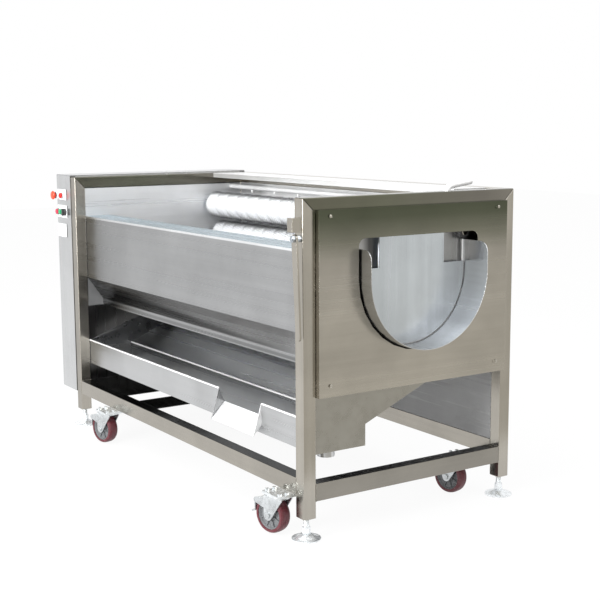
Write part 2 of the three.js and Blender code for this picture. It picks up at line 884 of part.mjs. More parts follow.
const rightFlangeEnd = rightInner + wallFlange;
add(
  'inner_wall_right',
  endWall(rightWall, rightWall, rightFlangeEnd, [...shaftHoles, mouth]),
  'polished',
);
add(
  'inner_wall_left',
  endWall(leftWall, leftWall - wallFlange, leftWall + sheet, shaftHoles),
  'polished',
);

// Discharge duct, open at the top, its outer upper corners rounded
const ductOutline = [
  [arcCentreY - ductRadius, ductTop],
  ...arc([arcCentreY, arcCentreZ], ductRadius, 180, 360, 2 * roundSides),
  [arcCentreY + ductRadius, ductTop],
  [arcCentreY + ductRadius - sheet, ductTop],
  ...arc([arcCentreY, arcCentreZ], ductRadius - sheet, 360, 180, 2 * roundSides),
  [arcCentreY - ductRadius + sheet, ductTop],
];
const ductLeft = rightWall + sheet + fit;
const cornerOff = [
  ...arc([ductEnd - ductCorner, ductTop - ductCorner], ductCorner, 0, 90, 5),
  [ductEnd - ductCorner, ductTop + overrun],
  [ductEnd + overrun, ductTop + overrun],
  [ductEnd + overrun, ductTop - ductCorner],
];
add(
  'discharge_duct',
  cut(
    prism('x', ductOutline, ductLeft, ductEnd),
    prism(
      'y',
      cornerOff,
      arcCentreY - ductRadius - overrun,
      arcCentreY + ductRadius + overrun,
    ),
  ),
  'polished',
);

// Front wall of the trough with its shelf, between the end walls
const troughEnds = [leftWall + sheet + fit, rightWall - fit];
const frontPlane = tubeWidth + fit;
const frontLine = [
  [apronReach, rimHeight],
  [frontPlane, rimHeight],
  [frontPlane, bendHeight],
  [bandPlace, bandHeight],
  [bandPlace, troughBottom],
];
add('front_wall', prism('x', folded(frontLine, sheet), ...troughEnds), 'brushed');

// Back cover, and the guard over the back rollers
add(
  'back_cover',
  box(
    [leftInner + fit, rightInner - fit],
    [backInner + fit, backInner + fit + sheet],
    [sideRailLift + railHeight + fit, legHeight - tubeWidth - fit],
  ),
  'brushed',
);
const guardLine = [
  [betweenLegs[1], legHeight - guardReturn],
  [betweenLegs[1], legHeight],
  [guardFront, legHeight],
  [guardFront, legHeight - guardLip],
];
add(
  'top_guard',
  prism('x', folded(guardLine, sheet), leftInner + fit, -guardEnd),
  'polished',
);

// Spray pipe under the guard, its inlet turned up and over the end
function strut(from, to, radius, sides) {
  const start = new THREE.Vector3(...from);
  const way = new THREE.Vector3(...to).sub(start);
  const geometry = new THREE.CylinderGeometry(radius, radius, way.length(), sides);
  geometry.applyQuaternion(
    new THREE.Quaternion().setFromUnitVectors(new THREE.Vector3(0, 1, 0), way.clone().normalize()),
  );
  geometry.translate(...start.addScaledVector(way, 0.5).toArray());
  return solidOf(geometry);
}

function ball(centre, radius) {
  const geometry = new THREE.SphereGeometry(radius, smallSides, smallSides / 2);
  geometry.translate(...centre);
  return solidOf(geometry);
}

const pipeRight = -pipeEndInset;
const pipeBend = [
  [troughEnds[0], pipePlace, pipeHeight],
  [pipeRight, pipePlace, pipeHeight],
  [pipeRight, inletPlaces[0], pipeHeight],
  [pipeRight, inletPlaces[0], inletHeights[0]],
  [pipeRight, inletPlaces[1], inletHeights[1]],
];
const pipePieces = [];
for (let i = 1; i < pipeBend.length; i += 1) {
  pipePieces.push(strut(pipeBend[i - 1], pipeBend[i], pipeRadius, smallSides));
  if (i > 1) {
    pipePieces.push(ball(pipeBend[i - 1], pipeRadius));
  }
}
for (let i = 0; i < nozzleCount; i += 1) {
  const x = troughEnds[0] + ((i + 1) / (nozzleCount + 1)) * (pipeRight - troughEnds[0]);
  pipePieces.push(
    rod('z', [x, pipePlace], nozzleRadius, pipeHeight - pipeRadius - nozzleLength, pipeHeight, boltSides),
  );
}
add('spray_pipe', join(...pipePieces), 'brushed');

// Collecting tray: gutter along the front, slope up to the back, end plates and a drain stub
const trayRight = -trayEnd;
const trayLeft = leftInner + fit;
const trayLine = [
  [frontPlane, trayLip],
  [frontPlane, trayFloor],
  [trayGutter, trayFloor],
  [trayGutter, trayStep],
  [trayBackPlace, trayBackHeight],
];
const endOutline = [
  [frontPlane, trayFloor],
  [trayGutter, trayFloor],
  [trayGutter, trayStep],
  [trayGutter + (trayEndTop - trayStep) / traySlope, trayEndTop],
  [frontPlane + sheet, trayEndTop],
  [frontPlane + sheet, trayLip],
  [frontPlane, trayLip],
];
const leftEndOutline = [
  [frontPlane, trayFloor],
  [trayGutter, trayFloor],
  [trayGutter, trayStep],
  [trayBackPlace, trayBackHeight],
  [trayBackPlace, trayBackHeight + 2 * sheet],
  [trayGutter, trayStep + trayLip - trayFloor],
  [frontPlane, trayLip],
];
const spoutSlope = (spoutInHeight - spoutOutHeight) / (spoutIn - spoutOut);
const spoutSeat = spoutOutHeight + spoutSlope * (frontPlane - spoutOut) - fit;
const notch = box(
  [-spoutFrom, -spoutTo],
  [frontPlane - overrun, frontPlane + sheet + overrun],
  [spoutSeat, trayLip + overrun],
);
const drain = [-drainInset, drainPlace];
const tray = join(
  prism('x', folded(trayLine, sheet), trayLeft, trayRight),
  prism('x', endOutline, trayRight - sheet, trayRight),
  prism('x', leftEndOutline, trayLeft, trayLeft + sheet),
  rod('z', drain, drainRadius, trayFloor - drainLength, trayFloor + sheet / 2),
);
add(
  'collecting_tray',
  cut(
    tray,
    notch,
    rod('z', drain, drainBore, trayFloor - drainLength - overrun, trayFloor + sheet + overrun),
  ),
  'polished',
);

// Spout in the notch: a sloping plate between two cheeks
const spoutLine = [[spoutOut, spoutOutHeight], [spoutIn, spoutInHeight]];
const cheekOutline = [[spoutOut, spoutOutHeight], [spoutIn, spoutInHeight], [frontPlane, trayLip]];
const spoutEnds = [-spoutFrom + fit, -spoutTo - fit];
add(
  'spout',
  join(
    prism('x', folded(spoutLine, sheet), ...spoutEnds),
    prism('x', cheekOutline, spoutEnds[0], spoutEnds[0] + sheet),
    prism('x', cheekOutline, spoutEnds[1] - sheet, spoutEnds[1]),
  ),
  'polished',
);

// Drive cabinet, open towards the frame, and its lid
const inCabinet = [cabinetLeft + sheet, cabinetRight + overrun];
const cabinetShell = cut(
  box([cabinetLeft, cabinetRight], [cabinetFront, cabinetBack], [cabinetBottom, cabinetTop]),
  box(
    inCabinet,
    [cabinetFront + sheet, cabinetBack - sheet],
    [cabinetBottom + sheet, cabinetTop + overrun],
  ),
);
const cabinetFlanges = [
  [cabinetFront, cabinetFront + cabinetFlange],
  [cabinetBack - cabinetFlange, cabinetBack],
].map((y) => box([cabinetRight - sheet, cabinetRight], y, [cabinetBottom, cabinetTop]));
const rows = [
  { name: 'emergency_stop', place: stopPlace, height: upperRow, finish: 'red' },
  { name: 'button_reset', place: resetPlace, height: upperRow, finish: 'red' },
  { name: 'button_off', place: offPlace, height: lowerRow, finish: 'purple' },
  { name: 'button_on', place: onPlace, height: lowerRow, finish: 'green' },
  { name: 'selector', place: selectorPlace, height: lowerRow, finish: 'black' },
].map((control) => ({ ...control, centre: [cabinetLeft + control.place, control.height] }));
const plateFront = cabinetFront - plateThickness;
const stemHoles = rows.map(({ centre }) => bore(
  'y',
  centre,
  buttonStemRadius + buttonClearance,
  plateFront - overrun - collarHeight,
  cabinetFront + overrun,
));

// Control plates on the cabinet front, with the bezels and the collar of the buttons
const plates = [upperPlate, lowerPlate, barePlate].map(({ left, right, bottom, top }) => box(
  [cabinetLeft + left, cabinetLeft + right],
  [plateFront, cabinetFront + sheet / 2],
  [cabinetTop - bottom, cabinetTop - top],
));
const bezels = rows.slice(1, 4).map(({ centre }) => cut(
  rod('y', centre, bezelRadius, plateFront - bezelHeight, plateFront + sheet / 2),
  rod(
    'y',
    centre,
    buttonRadius + buttonClearance,
    plateFront - bezelHeight - overrun,
    plateFront,
  ),
));
const collar = rod(
  'y',
  rows[0].centre,
  bezelRadius,
  plateFront - collarHeight,
  plateFront + sheet / 2,
);
add(
  'drive_cabinet',
  cut(join(cabinetShell, ...cabinetFlanges, ...plates, ...bezels, collar), ...stemHoles),
  'brushed',
);

const lidBottom = cabinetTop + fit;
const skirtGap = sheet + fit;
const skirtOuter = box(
  [cabinetLeft + skirtGap, cabinetRight - skirtGap],
  [cabinetFront + skirtGap, cabinetBack - skirtGap],
  [lidBottom - lidSkirt, lidBottom + sheet / 2],
);
const skirtInner = box(
  [cabinetLeft + skirtGap + sheet, cabinetRight - skirtGap - sheet],
  [cabinetFront + skirtGap + sheet, cabinetBack - skirtGap - sheet],
  [lidBottom - lidSkirt - overrun, lidBottom],
);
add(
  'cabinet_lid',
  join(
    box([cabinetLeft, cabinetRight], [cabinetFront, cabinetBack], [lidBottom, lidBottom + sheet]),
    cut(skirtOuter, skirtInner),
  ),
  'brushed',
);

// Buttons and the selector
function button({ name, centre, finish }, radius, depth, stand) {
  const back = plateFront - stand;
  const stem = rod('y', centre, buttonStemRadius, back, back + stand + buttonStemLength, smallSides);
  add(name, join(rod('y', centre, radius, back - depth, back), stem), finish);
}
button(rows[0], mushroomRadius, mushroomDepth, mushroomStand);
button(rows[1], buttonRadius, buttonDepth, buttonStand);
button(rows[2], buttonRadius, buttonDepth, buttonStand);
button(rows[3], buttonRadius, buttonDepth, buttonStand);

const knobBack = plateFront - fit;
const knobCentre = rows[4].centre;
const knobHalf = knobRadius * knobBarShare;
add(
  'selector',
  join(
    rod('y', knobCentre, bezelRadius, knobBack - knobDepth / 2, knobBack),
    box(
      [knobCentre[0] - knobHalf, knobCentre[0] + knobHalf],
      [knobBack - knobDepth, knobBack - knobDepth / 2],
      [knobCentre[1] - bezelRadius, knobCentre[1] + bezelRadius],
    ),
    rod('y', knobCentre, buttonStemRadius, knobBack, knobBack + buttonStemLength, smallSides),
  ),
  'black',
);

// Discharge gate with its shaft; the lever is clamped on the shaft outside the front leg
const gateLeft = rightWall + sheet + gateGap;
const gateRise = THREE.MathUtils.radToDeg(Math.asin((gateNeckBottom - arcCentreZ) / gateRadius));
const gateOutline = [
  [mouthCentre + gateNeckHalf, gateTop],
  [mouthCentre - gateNeckHalf, gateTop],
  [mouthCentre - gateNeckHalf, gateNeckBottom],
  ...arc([arcCentreY, arcCentreZ], gateRadius, 180 - gateRise, 360 + gateRise, 2 * roundSides),
  [mouthCentre + gateNeckHalf, gateNeckBottom],
];
const shaftLine = [gateShaftX, gateShaftHeight];
const leverFront = -leverGap - leverThickness;
const nutBack = leverFront - fit;
const nutFront = nutBack - shaftNutHeight;
add(
  'gate',
  join(
    prism('x', gateOutline, gateLeft, gateLeft + gateThickness),
    box(
      [gateLeft, gateShaftX],
      [mouthCentre - gateNeckHalf, mouthCentre + gateNeckHalf],
      [gateTop - gateThickness, gateTop],
    ),
    rod('y', shaftLine, gateShaftRadius, nutFront - sheet, backInner + gateShaftTail, smallSides),
    rod('y', shaftLine, shaftNutRadius, nutFront, nutBack, boltSides),
    rod('y', shaftLine, shaftNutRadius, -leverGap + fit, -fit, boltSides),
  ),
  'polished',
);

const leverAngle = THREE.MathUtils.radToDeg(
  Math.atan2(leverTip[1] - gateShaftHeight, leverTip[0] - gateShaftX),
);
const leverOutline = [
  ...arc(shaftLine, leverHubRadius, leverAngle + 90, leverAngle + 270, smallSides),
  ...arc(leverTip, leverWidth / 2, leverAngle - 90, leverAngle + 90, smallSides / 2),
];
const leverBore = boreOutline(shaftLine, gateShaftRadius + fit);
add(
  'gate_lever',
  prism('y', leverOutline, leverFront, -leverGap, [leverBore]),
  'polished',
);

// Bearings on a curved carrier plate against the outer face of each end wall
function bearings(wallFace, outward) {
  const carrierFace = wallFace + outward * fit;
  const span = (a, b) => [Math.min(a, b), Math.max(a, b)];
  const lastAngle = firstAngle - (rollerCount - 1) * pitchAngle;
  const arcCentre = [arcCentreY, arcCentreZ];
  const [from, to] = [lastAngle - carrierLap, firstAngle + carrierLap];
  const carrier = prism(
    'x',
    [
      ...arc(arcCentre, arcRadius + carrierHalf, from, to, 2 * rollerCount),
      ...arc(arcCentre, arcRadius - carrierHalf, to, from, 2 * rollerCount),
    ],
    ...span(carrierFace, carrierFace + outward * carrierThickness),
  );
  const ends = span(carrierFace, carrierFace + outward * bearingWidth);
  const housings = rollerCentres.map((centre) => (
    rod('x', centre, bearingRadius, ...ends, smallSides)
  ));
  const bores = rollerCentres.map((centre) => (
    bore('x', centre, shaftRadius + fit, ends[0] - overrun, ends[1] + overrun)
  ));
  const round = prism(
    'x',
    archOutline(arcCentre, ductRadius + ductRelief, ductTop + ductRelief, ductRelief),
    ends[0] - overrun,
    ends[1] + overrun,
  );
  return cut(join(carrier, ...housings), ...bores, round);
}
add('bearings_right', bearings(rightWall + sheet, 1), 'motor');
add('bearings_left', bearings(leftWall, -1), 'motor');

// Rollers: a shaft with a sprocket carries each brush
function rollerShaft(centre) {
  return join(
    rod('x', centre, shaftRadius, shaftLeft, shaftRight, smallSides),
    rod('x', centre, sprocketRadius, sprocketPlane - sprocketWidth, sprocketPlane),
  );
}

// Tufts stand on the core along a helix, each a tapered prism of three sides.
function tufts(centre, phase) {
  const count = tuftsPerTurn * tuftTurns;
  const length = brushRight - brushLeft;
  const root = coreRadius - 2 * sheet;
  const pieces = [];
  for (let i = 0; i < count; i += 1) {
    const share = tuftEndShare + ((i + 0.5) / count) * (1 - 2 * tuftEndShare);
    const angle = ((i + phase) / tuftsPerTurn) * 2 * Math.PI;
    const geometry = new THREE.CylinderGeometry(
      tuftRadius * tuftTipShare,
      tuftRadius,
      brushRadius - root,
      3,
    );
    geometry.translate(0, (brushRadius + root) / 2, 0);
    geometry.rotateX(angle);
    geometry.translate(brushLeft + share * length, centre[0], centre[1]);
    pieces.push(solidOf(geometry));
  }
  return join(...pieces);
}

rollerCentres.forEach((centre, k) => {
  const number = k + 1;
  if (k < tuftedRollers) {
    const core = prism(
      'x',
      circle(centre, coreRadius, smallSides),
      brushLeft,
      brushRight,
      [boreOutline(centre, shaftRadius + fit)],
    );
    add('brush_' + number, join(core, tufts(centre, k / tuftedRollers)), 'nylon');
    add('roller_shaft_' + number, rollerShaft(centre), 'brushed');
  } else {
    const brush = rod('x', centre, brushRadius, brushLeft, brushRight);
    add('brush_roller_' + number, join(brush, rollerShaft(centre)), 'nylon');
  }
});

// One chain runs round the outside of all the sprockets
function belt(centres, radius) {
  const points = [];
  centres.forEach((centre, i) => {
    const before = centres[(i + centres.length - 1) % centres.length];
    const after = centres[(i + 1) % centres.length];
    const outward = (a, b) => THREE.MathUtils.radToDeg(Math.atan2(a[0] - b[0], b[1] - a[1]));
    const from = outward(before, centre);
    const turn = (outward(centre, after) - from + 360) % 360;
    points.push(...arc(centre, radius, from, from + turn, Math.ceil(turn / beltStep)));
  });
  return points;
}
const sprocketRound = [...rollerCentres].reverse();
add(
  'drive_chain',
  prism(
    'x',
    belt(sprocketRound, sprocketRadius + chainDepth),
    sprocketPlane - sprocketWidth,
    sprocketPlane,
    [belt(sprocketRound, sprocketRadius + chainClearance)],
  ),
  'chain',
);

// Gear motor on the shaft of the first roller
const [motorY, motorZ] = rollerCentres[0];
const gearboxRight = shaftLeft + gearboxCover;
const gearboxLeft = gearboxRight - gearboxLength;
const gearbox = cut(
  box(
    [gearboxLeft, gearboxRight],
    [motorY - gearboxSize / 2, motorY + gearboxSize / 2],
    [motorZ - gearboxSize / 2, motorZ + gearboxSize / 2],
  ),
  bore('x', rollerCentres[0], shaftRadius + fit, shaftLeft - fit, gearboxRight + overrun),
);
add(
  'gear_motor',
  join(
    gearbox,
    rod(
      'y',
      [(gearboxLeft + gearboxRight) / 2, motorZ],
      motorRadius,
      motorY + gearboxSize / 2 - sheet,
      motorY + gearboxSize / 2 + motorLength,
    ),
  ),
  'motor',
);

// The origin is moved to the floor, under the middle of the machine
const bounds = new THREE.Box3().setFromObject(machine);
const middle = bounds.getCenter(new THREE.Vector3());
machine.position.set(-middle.x, -middle.y, -bounds.min.z);

export default machine;
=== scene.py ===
"""Looks of a brush-roller washing and peeling machine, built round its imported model.

The file is laid out as an add-on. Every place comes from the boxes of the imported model's nodes,
in metres, with +X towards the discharge end, +Y towards the back and +Z up.
"""
import contextlib
import json
import math

import bmesh
import bpy
import numpy as np
from mathutils import Matrix, Vector

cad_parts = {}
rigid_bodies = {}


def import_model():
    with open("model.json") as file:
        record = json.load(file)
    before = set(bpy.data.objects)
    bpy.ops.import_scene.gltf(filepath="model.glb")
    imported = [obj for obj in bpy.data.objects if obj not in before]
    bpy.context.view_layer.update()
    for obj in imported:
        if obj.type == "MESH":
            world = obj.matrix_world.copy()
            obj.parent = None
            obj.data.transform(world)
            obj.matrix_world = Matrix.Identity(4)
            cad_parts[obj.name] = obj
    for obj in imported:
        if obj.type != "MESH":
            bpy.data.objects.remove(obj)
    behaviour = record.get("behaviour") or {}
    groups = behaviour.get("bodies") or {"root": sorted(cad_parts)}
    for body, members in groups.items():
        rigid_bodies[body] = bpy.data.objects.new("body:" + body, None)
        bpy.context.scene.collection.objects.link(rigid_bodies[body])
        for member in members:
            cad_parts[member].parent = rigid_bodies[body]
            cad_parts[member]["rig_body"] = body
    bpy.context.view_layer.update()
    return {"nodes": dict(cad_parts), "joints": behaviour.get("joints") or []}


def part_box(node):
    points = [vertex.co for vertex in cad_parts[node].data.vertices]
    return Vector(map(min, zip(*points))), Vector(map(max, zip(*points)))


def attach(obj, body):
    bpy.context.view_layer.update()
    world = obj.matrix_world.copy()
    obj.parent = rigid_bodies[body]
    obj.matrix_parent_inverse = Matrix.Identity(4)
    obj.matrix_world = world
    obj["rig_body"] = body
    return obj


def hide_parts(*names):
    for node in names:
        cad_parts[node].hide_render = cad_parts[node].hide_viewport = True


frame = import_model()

bl_info = {
    "name": "Brush-roller peeling machine",
    "version": (1, 0, 0),
    "blender": (4, 5, 0),
    "location": "3D View > Sidebar > Peeler",
    "description": "Builds the pieces, finishes and stage of a brush-roller peeling machine",
    "category": "Object",
}

MM = 0.001
FULL_TURN = 2 * math.pi
SHARP_ANGLE = math.radians(32)
MERGE_DISTANCE = 0.02 * MM
FLAT_ANGLE = math.radians(0.4)
SKIN = 0.15 * MM
ARC_REACH = 0.45
SECTION_SIDE = (0.31, 0.17, 0.93)

# Sections of the tubes and sheets
TUBE_CORNER = 3.0 * MM
CORNER_STEPS = 5
EDGE_ROUND = 0.5 * MM
EDGE_SEGMENTS = 2
SHEET = 2.0 * MM
WELD_RADIUS = 1.2 * MM
WELD_SWELL = 0.2
WELD_WAVES = 9
HEM_RADIUS = 3 * MM
RAIL_HEIGHT = 50 * MM
FOLD_PLACE = 171.7 * MM
FOLD_RISE = 79 * MM
BROKEN_EDGE_SHARE = 0.15
BEAD_RADIUS = 3 * MM
BEAD_PLACE = 9.5 * MM
BEAD_SEAT_SHARE = 0.7
SCREW_INSET = 36 * MM
SCREW_RISE = 32 * MM
SCREW_DROP = 17 * MM
SCREW_RADIUS = 4.5 * MM
SCREW_HEIGHT = 2.5 * MM
SCREW_SPREAD = 1.2
FIT = 0.35 * MM

# Brush rollers
GROOVE_SHARE = 0.16
GROOVE_DEPTH = 6 * MM
BODY_GROOVE_SHARE = 0.3
DENSE_UNEVEN = 0.7 * MM
DENSE_WAVES = ((23, 900), (7, 1300))
SHOWN_GRID, HIDDEN_GRID = (96, 360), (48, 180)
FREE_BRISTLE = 11 * MM
FREE_ROOT_SHARE = 1.3
BRISTLE_HALF = 0.9 * MM
BRISTLE_UNEVEN = 1.8 * MM
BRISTLE_LEAN = 0.5 * MM
TUFT_HALF = 1.2 * MM
TUFT_SPLAY = 1.5 * MM
TUFT_PITCH = 10 * MM
TUFTS_AROUND = 36
SHOWN_BRUSHES = 3
CORE_RADIUS = 40 * MM
SHAFT_RADIUS = 10 * MM
SPROCKET_RADIUS = 30 * MM
SPROCKET_TEETH = 15
TOOTH_DEPTH = 5 * MM

# Castors, feet, controls and spray pipe
TREAD_DEPTH = 11 * MM
TREAD_CROWN = 4 * MM
TREAD_HALF = 18 * MM
HUB_WEB_HALF = 9 * MM
HUB_BUSH_RADIUS = 13 * MM
HUB_RIBS = 8
AXLE_BORE = 5.5 * MM
AXLE_NUT_START = 23 * MM
AXLE_NUT_HEIGHT = 4 * MM
AXLE_NUT_RADIUS = 9 * MM
PAD_NECK = 13 * MM
PAD_EDGE = 4 * MM
PAD_TOP = 16 * MM
STEM_RADIUS = 8 * MM
THREAD_PITCH = 2 * MM
NUT_RADIUS = 12 * MM
NUT_TOP = 36 * MM
CONTROL_STEM = 6 * MM
COLLAR_HEIGHT = 13 * MM
BEZEL_RADIUS = 13 * MM
BEZEL_HEIGHT = 4 * MM
BUTTON_BORE = 10.4 * MM
STOP_PROFILE = ((0, 0), (9, 0.2), (13.5, 1.6), (16, 4.5), (16, 7.5), (14.5, 9), (9, 9.5))
PUSH_PROFILE = ((0, 0), (8.5, 0.1), (9.6, 0.6), (10, 1.5), (10, 6))
PIPE_RADIUS = 9 * MM
PIPE_BEND = 22 * MM
BEND_STEPS = 9
PIPE_INLET_REACH = 93 * MM
PIPE_INLET_RISE = (63 * MM, 76 * MM)
NOZZLE_DROP = 21 * MM
NOZZLE_RADIUS = 5 * MM
NOZZLE_COUNT = 8

# Photograph's viewpoint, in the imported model's frame
CAMERA_PLACE = (3.397596, -2.053016, 1.136458)
CAMERA_YAW = 0.990974
CAMERA_PITCH = 0.149607
CAMERA_ROLL = -0.0052288
CAMERA_LENS = 70.729
SENSOR_WIDTH = 36.0


def srgb(red, green, blue):
    """A colour given as it looks on a screen, from 0 to 255, as linear values with full opacity."""
    share = np.array([red, green, blue], float) / 255
    linear = np.where(share <= 0.04045, share / 12.92, ((share + 0.055) / 1.055) ** 2.4)
    return (*[float(v) for v in linear], 1.0)


# Forms: a form is a pair of points, an array of rows x, y, z, and faces, a list of index tuples


def box(node):
    """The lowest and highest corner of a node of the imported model, as arrays."""
    low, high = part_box(node)
    return np.array(low, float), np.array(high, float)


def grid_faces(rows, columns, close_rows=False, close_columns=False):
    """Four-sided faces over a grid of points, with the last row or column joined to the first."""
    row = np.arange(rows if close_rows else rows - 1)
    column = np.arange(columns if close_columns else columns - 1)
    r, c = (part.ravel() for part in np.meshgrid(row, column, indexing="ij"))
    up, across = (r + 1) % rows, (c + 1) % columns
    corners = (r * columns + c, r * columns + across, up * columns + across, up * columns + c)
    return np.stack(corners, axis=1).tolist()


def joined(*forms):
    """Several forms as one, the indices of each moved past those before it."""
    points, faces, start = [], [], 0
    for form_points, form_faces in forms:
        points.append(form_points)
        faces.extend([[i + start for i in face] for face in form_faces])
        start += len(form_points)
    return np.concatenate(points), faces


def in_axes(axis, across, along):
    """Rows of x, y, z from an outline in the two other axes, in order, and places on the axis."""
    order = {"x": (2, 0, 1), "y": (0, 2, 1), "z": (0, 1, 2)}[axis]
    stacked = np.column_stack([across[:, 0], across[:, 1], along])
    return stacked[:, list(order)]


def prism(axis, outline, start, end):
    """A closed outline carried straight along an axis: point (s, t) is outline(s) at start + t."""
    count = len(outline)
    both = np.concatenate([outline, outline])
    along = np.repeat([start, end], count)
    caps = [list(range(count))[::-1], list(range(count, 2 * count))]
    return in_axes(axis, both, along), grid_faces(2, count, close_columns=True) + caps


def turned(axis, centre, profile, steps=48):
    """A closed profile of radius and height turned about an axis through a centre.

    Point (u, v) is the profile's point v at the angle u: radius times (cos u, sin u), and height."""
    profile = np.asarray(profile, float)
    angle = np.arange(steps) / steps * FULL_TURN
    radius, height = profile[:, 0], profile[:, 1]
    ring = np.stack([np.cos(angle), np.sin(angle)], axis=1)
    across = (ring[:, None, :] * radius[None, :, None]).reshape(-1, 2)
    points = in_axes(axis, across, np.tile(height, steps))
    on_axis = bool(radius[0] < MERGE_DISTANCE and radius[-1] < MERGE_DISTANCE)
    faces = grid_faces(steps, len(profile), close_rows=True, close_columns=not on_axis)
    return points + np.asarray(centre, float), faces


def tube_along(path, radius, steps=16):
    """A round section carried along a path: each point is the path plus radius times a turned
    pair of unit vectors square to it, and both ends are closed."""
    path = np.asarray(path, float)
    way = np.gradient(path, axis=0)
    way /= np.linalg.norm(way, axis=1)[:, None]
    aside = np.cross(way, SECTION_SIDE)
    aside /= np.linalg.norm(aside, axis=1)[:, None]
    over = np.cross(way, aside)
    angle = np.arange(steps) / steps * FULL_TURN
    radius = np.broadcast_to(radius, len(path))[:, None, None]
    cosine, sine = np.cos(angle)[None, :, None], np.sin(angle)[None, :, None]
    ring = cosine * aside[:, None, :] + sine * over[:, None, :]
    points = (path[:, None, :] + radius * ring).reshape(-1, 3)
    last = (len(path) - 1) * steps
    caps = [list(range(steps)), [last + i for i in range(steps)][::-1]]
    return points, grid_faces(len(path), steps, close_columns=True) + caps


def arc(start, corner, end, t):
    """A quadratic curve from start to end that leaves and arrives along the lines to a corner."""
    return (1 - t) ** 2 * start + 2 * t * (1 - t) * corner + t**2 * end


def rounded(outline, radius):
    """An outline with each corner turned into a quadratic curve, whose ends lie one radius from
    the corner on both sides, or at a share of a shorter side."""
    outline = np.asarray(outline, float)
    before, after = np.roll(outline, 1, axis=0), np.roll(outline, -1, axis=0)
    reach = np.broadcast_to(radius, len(outline)).astype(float)
    back, ahead = before - outline, after - outline
    back_length, ahead_length = np.linalg.norm(back, axis=1), np.linalg.norm(ahead, axis=1)
    reach = np.minimum(reach, ARC_REACH * np.minimum(back_length, ahead_length))
    start = outline + back * (reach / back_length)[:, None]
    end = outline + ahead * (reach / ahead_length)[:, None]
    t = np.linspace(0, 1, CORNER_STEPS)[None, :, None]
    return arc(start[:, None], outline[:, None], end[:, None], t).reshape(-1, 2)


def rectangle(low, high):
    """The four corners between two opposite ones, anticlockwise."""
    return np.array([low, (high[0], low[1]), high, (low[0], high[1])], float)


# Pieces


@contextlib.contextmanager
def opened(mesh):
    """A mesh opened for editing, and written back afterwards."""
    shell = bmesh.new()
    shell.from_mesh(mesh)
    yield shell
    shell.to_mesh(mesh)
    shell.free()


def piece(name, form, finish, body, replaces=(), smooth=True, closed=True):
    """A form as an object with a finish, riding on a body. A closed one's faces turn outwards."""
    points, faces = form
    mesh = bpy.data.meshes.new(name)
    mesh.from_pydata(np.asarray(points).tolist(), [], faces)
    if closed:
        with opened(mesh) as shell:
            bmesh.ops.remove_doubles(shell, verts=shell.verts, dist=MERGE_DISTANCE)
            bmesh.ops.recalc_face_normals(shell, faces=shell.faces)
    return placed(name, mesh, finish, body, replaces, smooth=smooth)


def placed(name, mesh, finish, body, replaces=(), edge=0.0, smooth=True):
    """A mesh as an object with rounded edges where asked, riding on a body."""
    mesh.materials.clear()
    mesh.materials.append(finish)
    if smooth:
        mesh.polygons.foreach_set("use_smooth", np.ones(len(mesh.polygons), bool))
        mesh.set_sharp_from_angle(angle=SHARP_ANGLE)
    obj = bpy.data.objects.new(name, mesh)
    bpy.context.scene.collection.objects.link(obj)
    if edge:
        bevelled(obj, "rounded_edges", edge, EDGE_SEGMENTS, "ANGLE")
    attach(obj, body)
    if replaces:
        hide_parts(*replaces)
    return obj


def bevelled(obj, name, width, segments, limit):
    """Round an object's edges, those that are sharp or those with a weight."""
    bevel = obj.modifiers.new(name, "BEVEL")
    bevel.width, bevel.segments = width, segments
    bevel.limit_method, bevel.angle_limit = limit, SHARP_ANGLE
    bevel.harden_normals = True


def body_of(node):
    """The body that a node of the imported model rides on."""
    return frame["nodes"][node]["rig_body"]


def merged_mesh(node):
    """A copy of a node's mesh with its loose triangles joined and its flat faces merged."""
    mesh = frame["nodes"][node].data.copy()
    mesh.name = node + "_finished"
    with opened(mesh) as shell:
        bmesh.ops.remove_doubles(shell, verts=shell.verts, dist=MERGE_DISTANCE)
        bmesh.ops.dissolve_limit(shell, angle_limit=FLAT_ANGLE, verts=shell.verts, edges=shell.edges)
    return mesh


def edged_copy(node, finish):
    """A node's shape with its edges rounded, standing for the node."""
    mesh = merged_mesh(node)
    return placed(node + "_finished", mesh, finish, body_of(node), (node,), EDGE_ROUND)


# Finishes: every pattern is read in the machine's own frame

# Cosines from the bristles' direction to the eye, and shares of their length, over which painted light
# brightens them
FRONT_SPAN = (0.2, 0.5)
TIP_SPAN = (0.72, 0.92)

# Most of the span of noise
NOISE_SPAN = (0.3, 0.7)


def shader_node(tree, kind, inputs, **options):
    """A new node with options, and with inputs that are values or sockets to link."""
    node = tree.nodes.new("ShaderNode" + kind)
    for name, value in options.items():
        setattr(node, name, value)
    for name, value in inputs.items():
        if isinstance(value, bpy.types.NodeSocket):
            tree.links.new(value, node.inputs[name])
        else:
            node.inputs[name].default_value = value
    return node


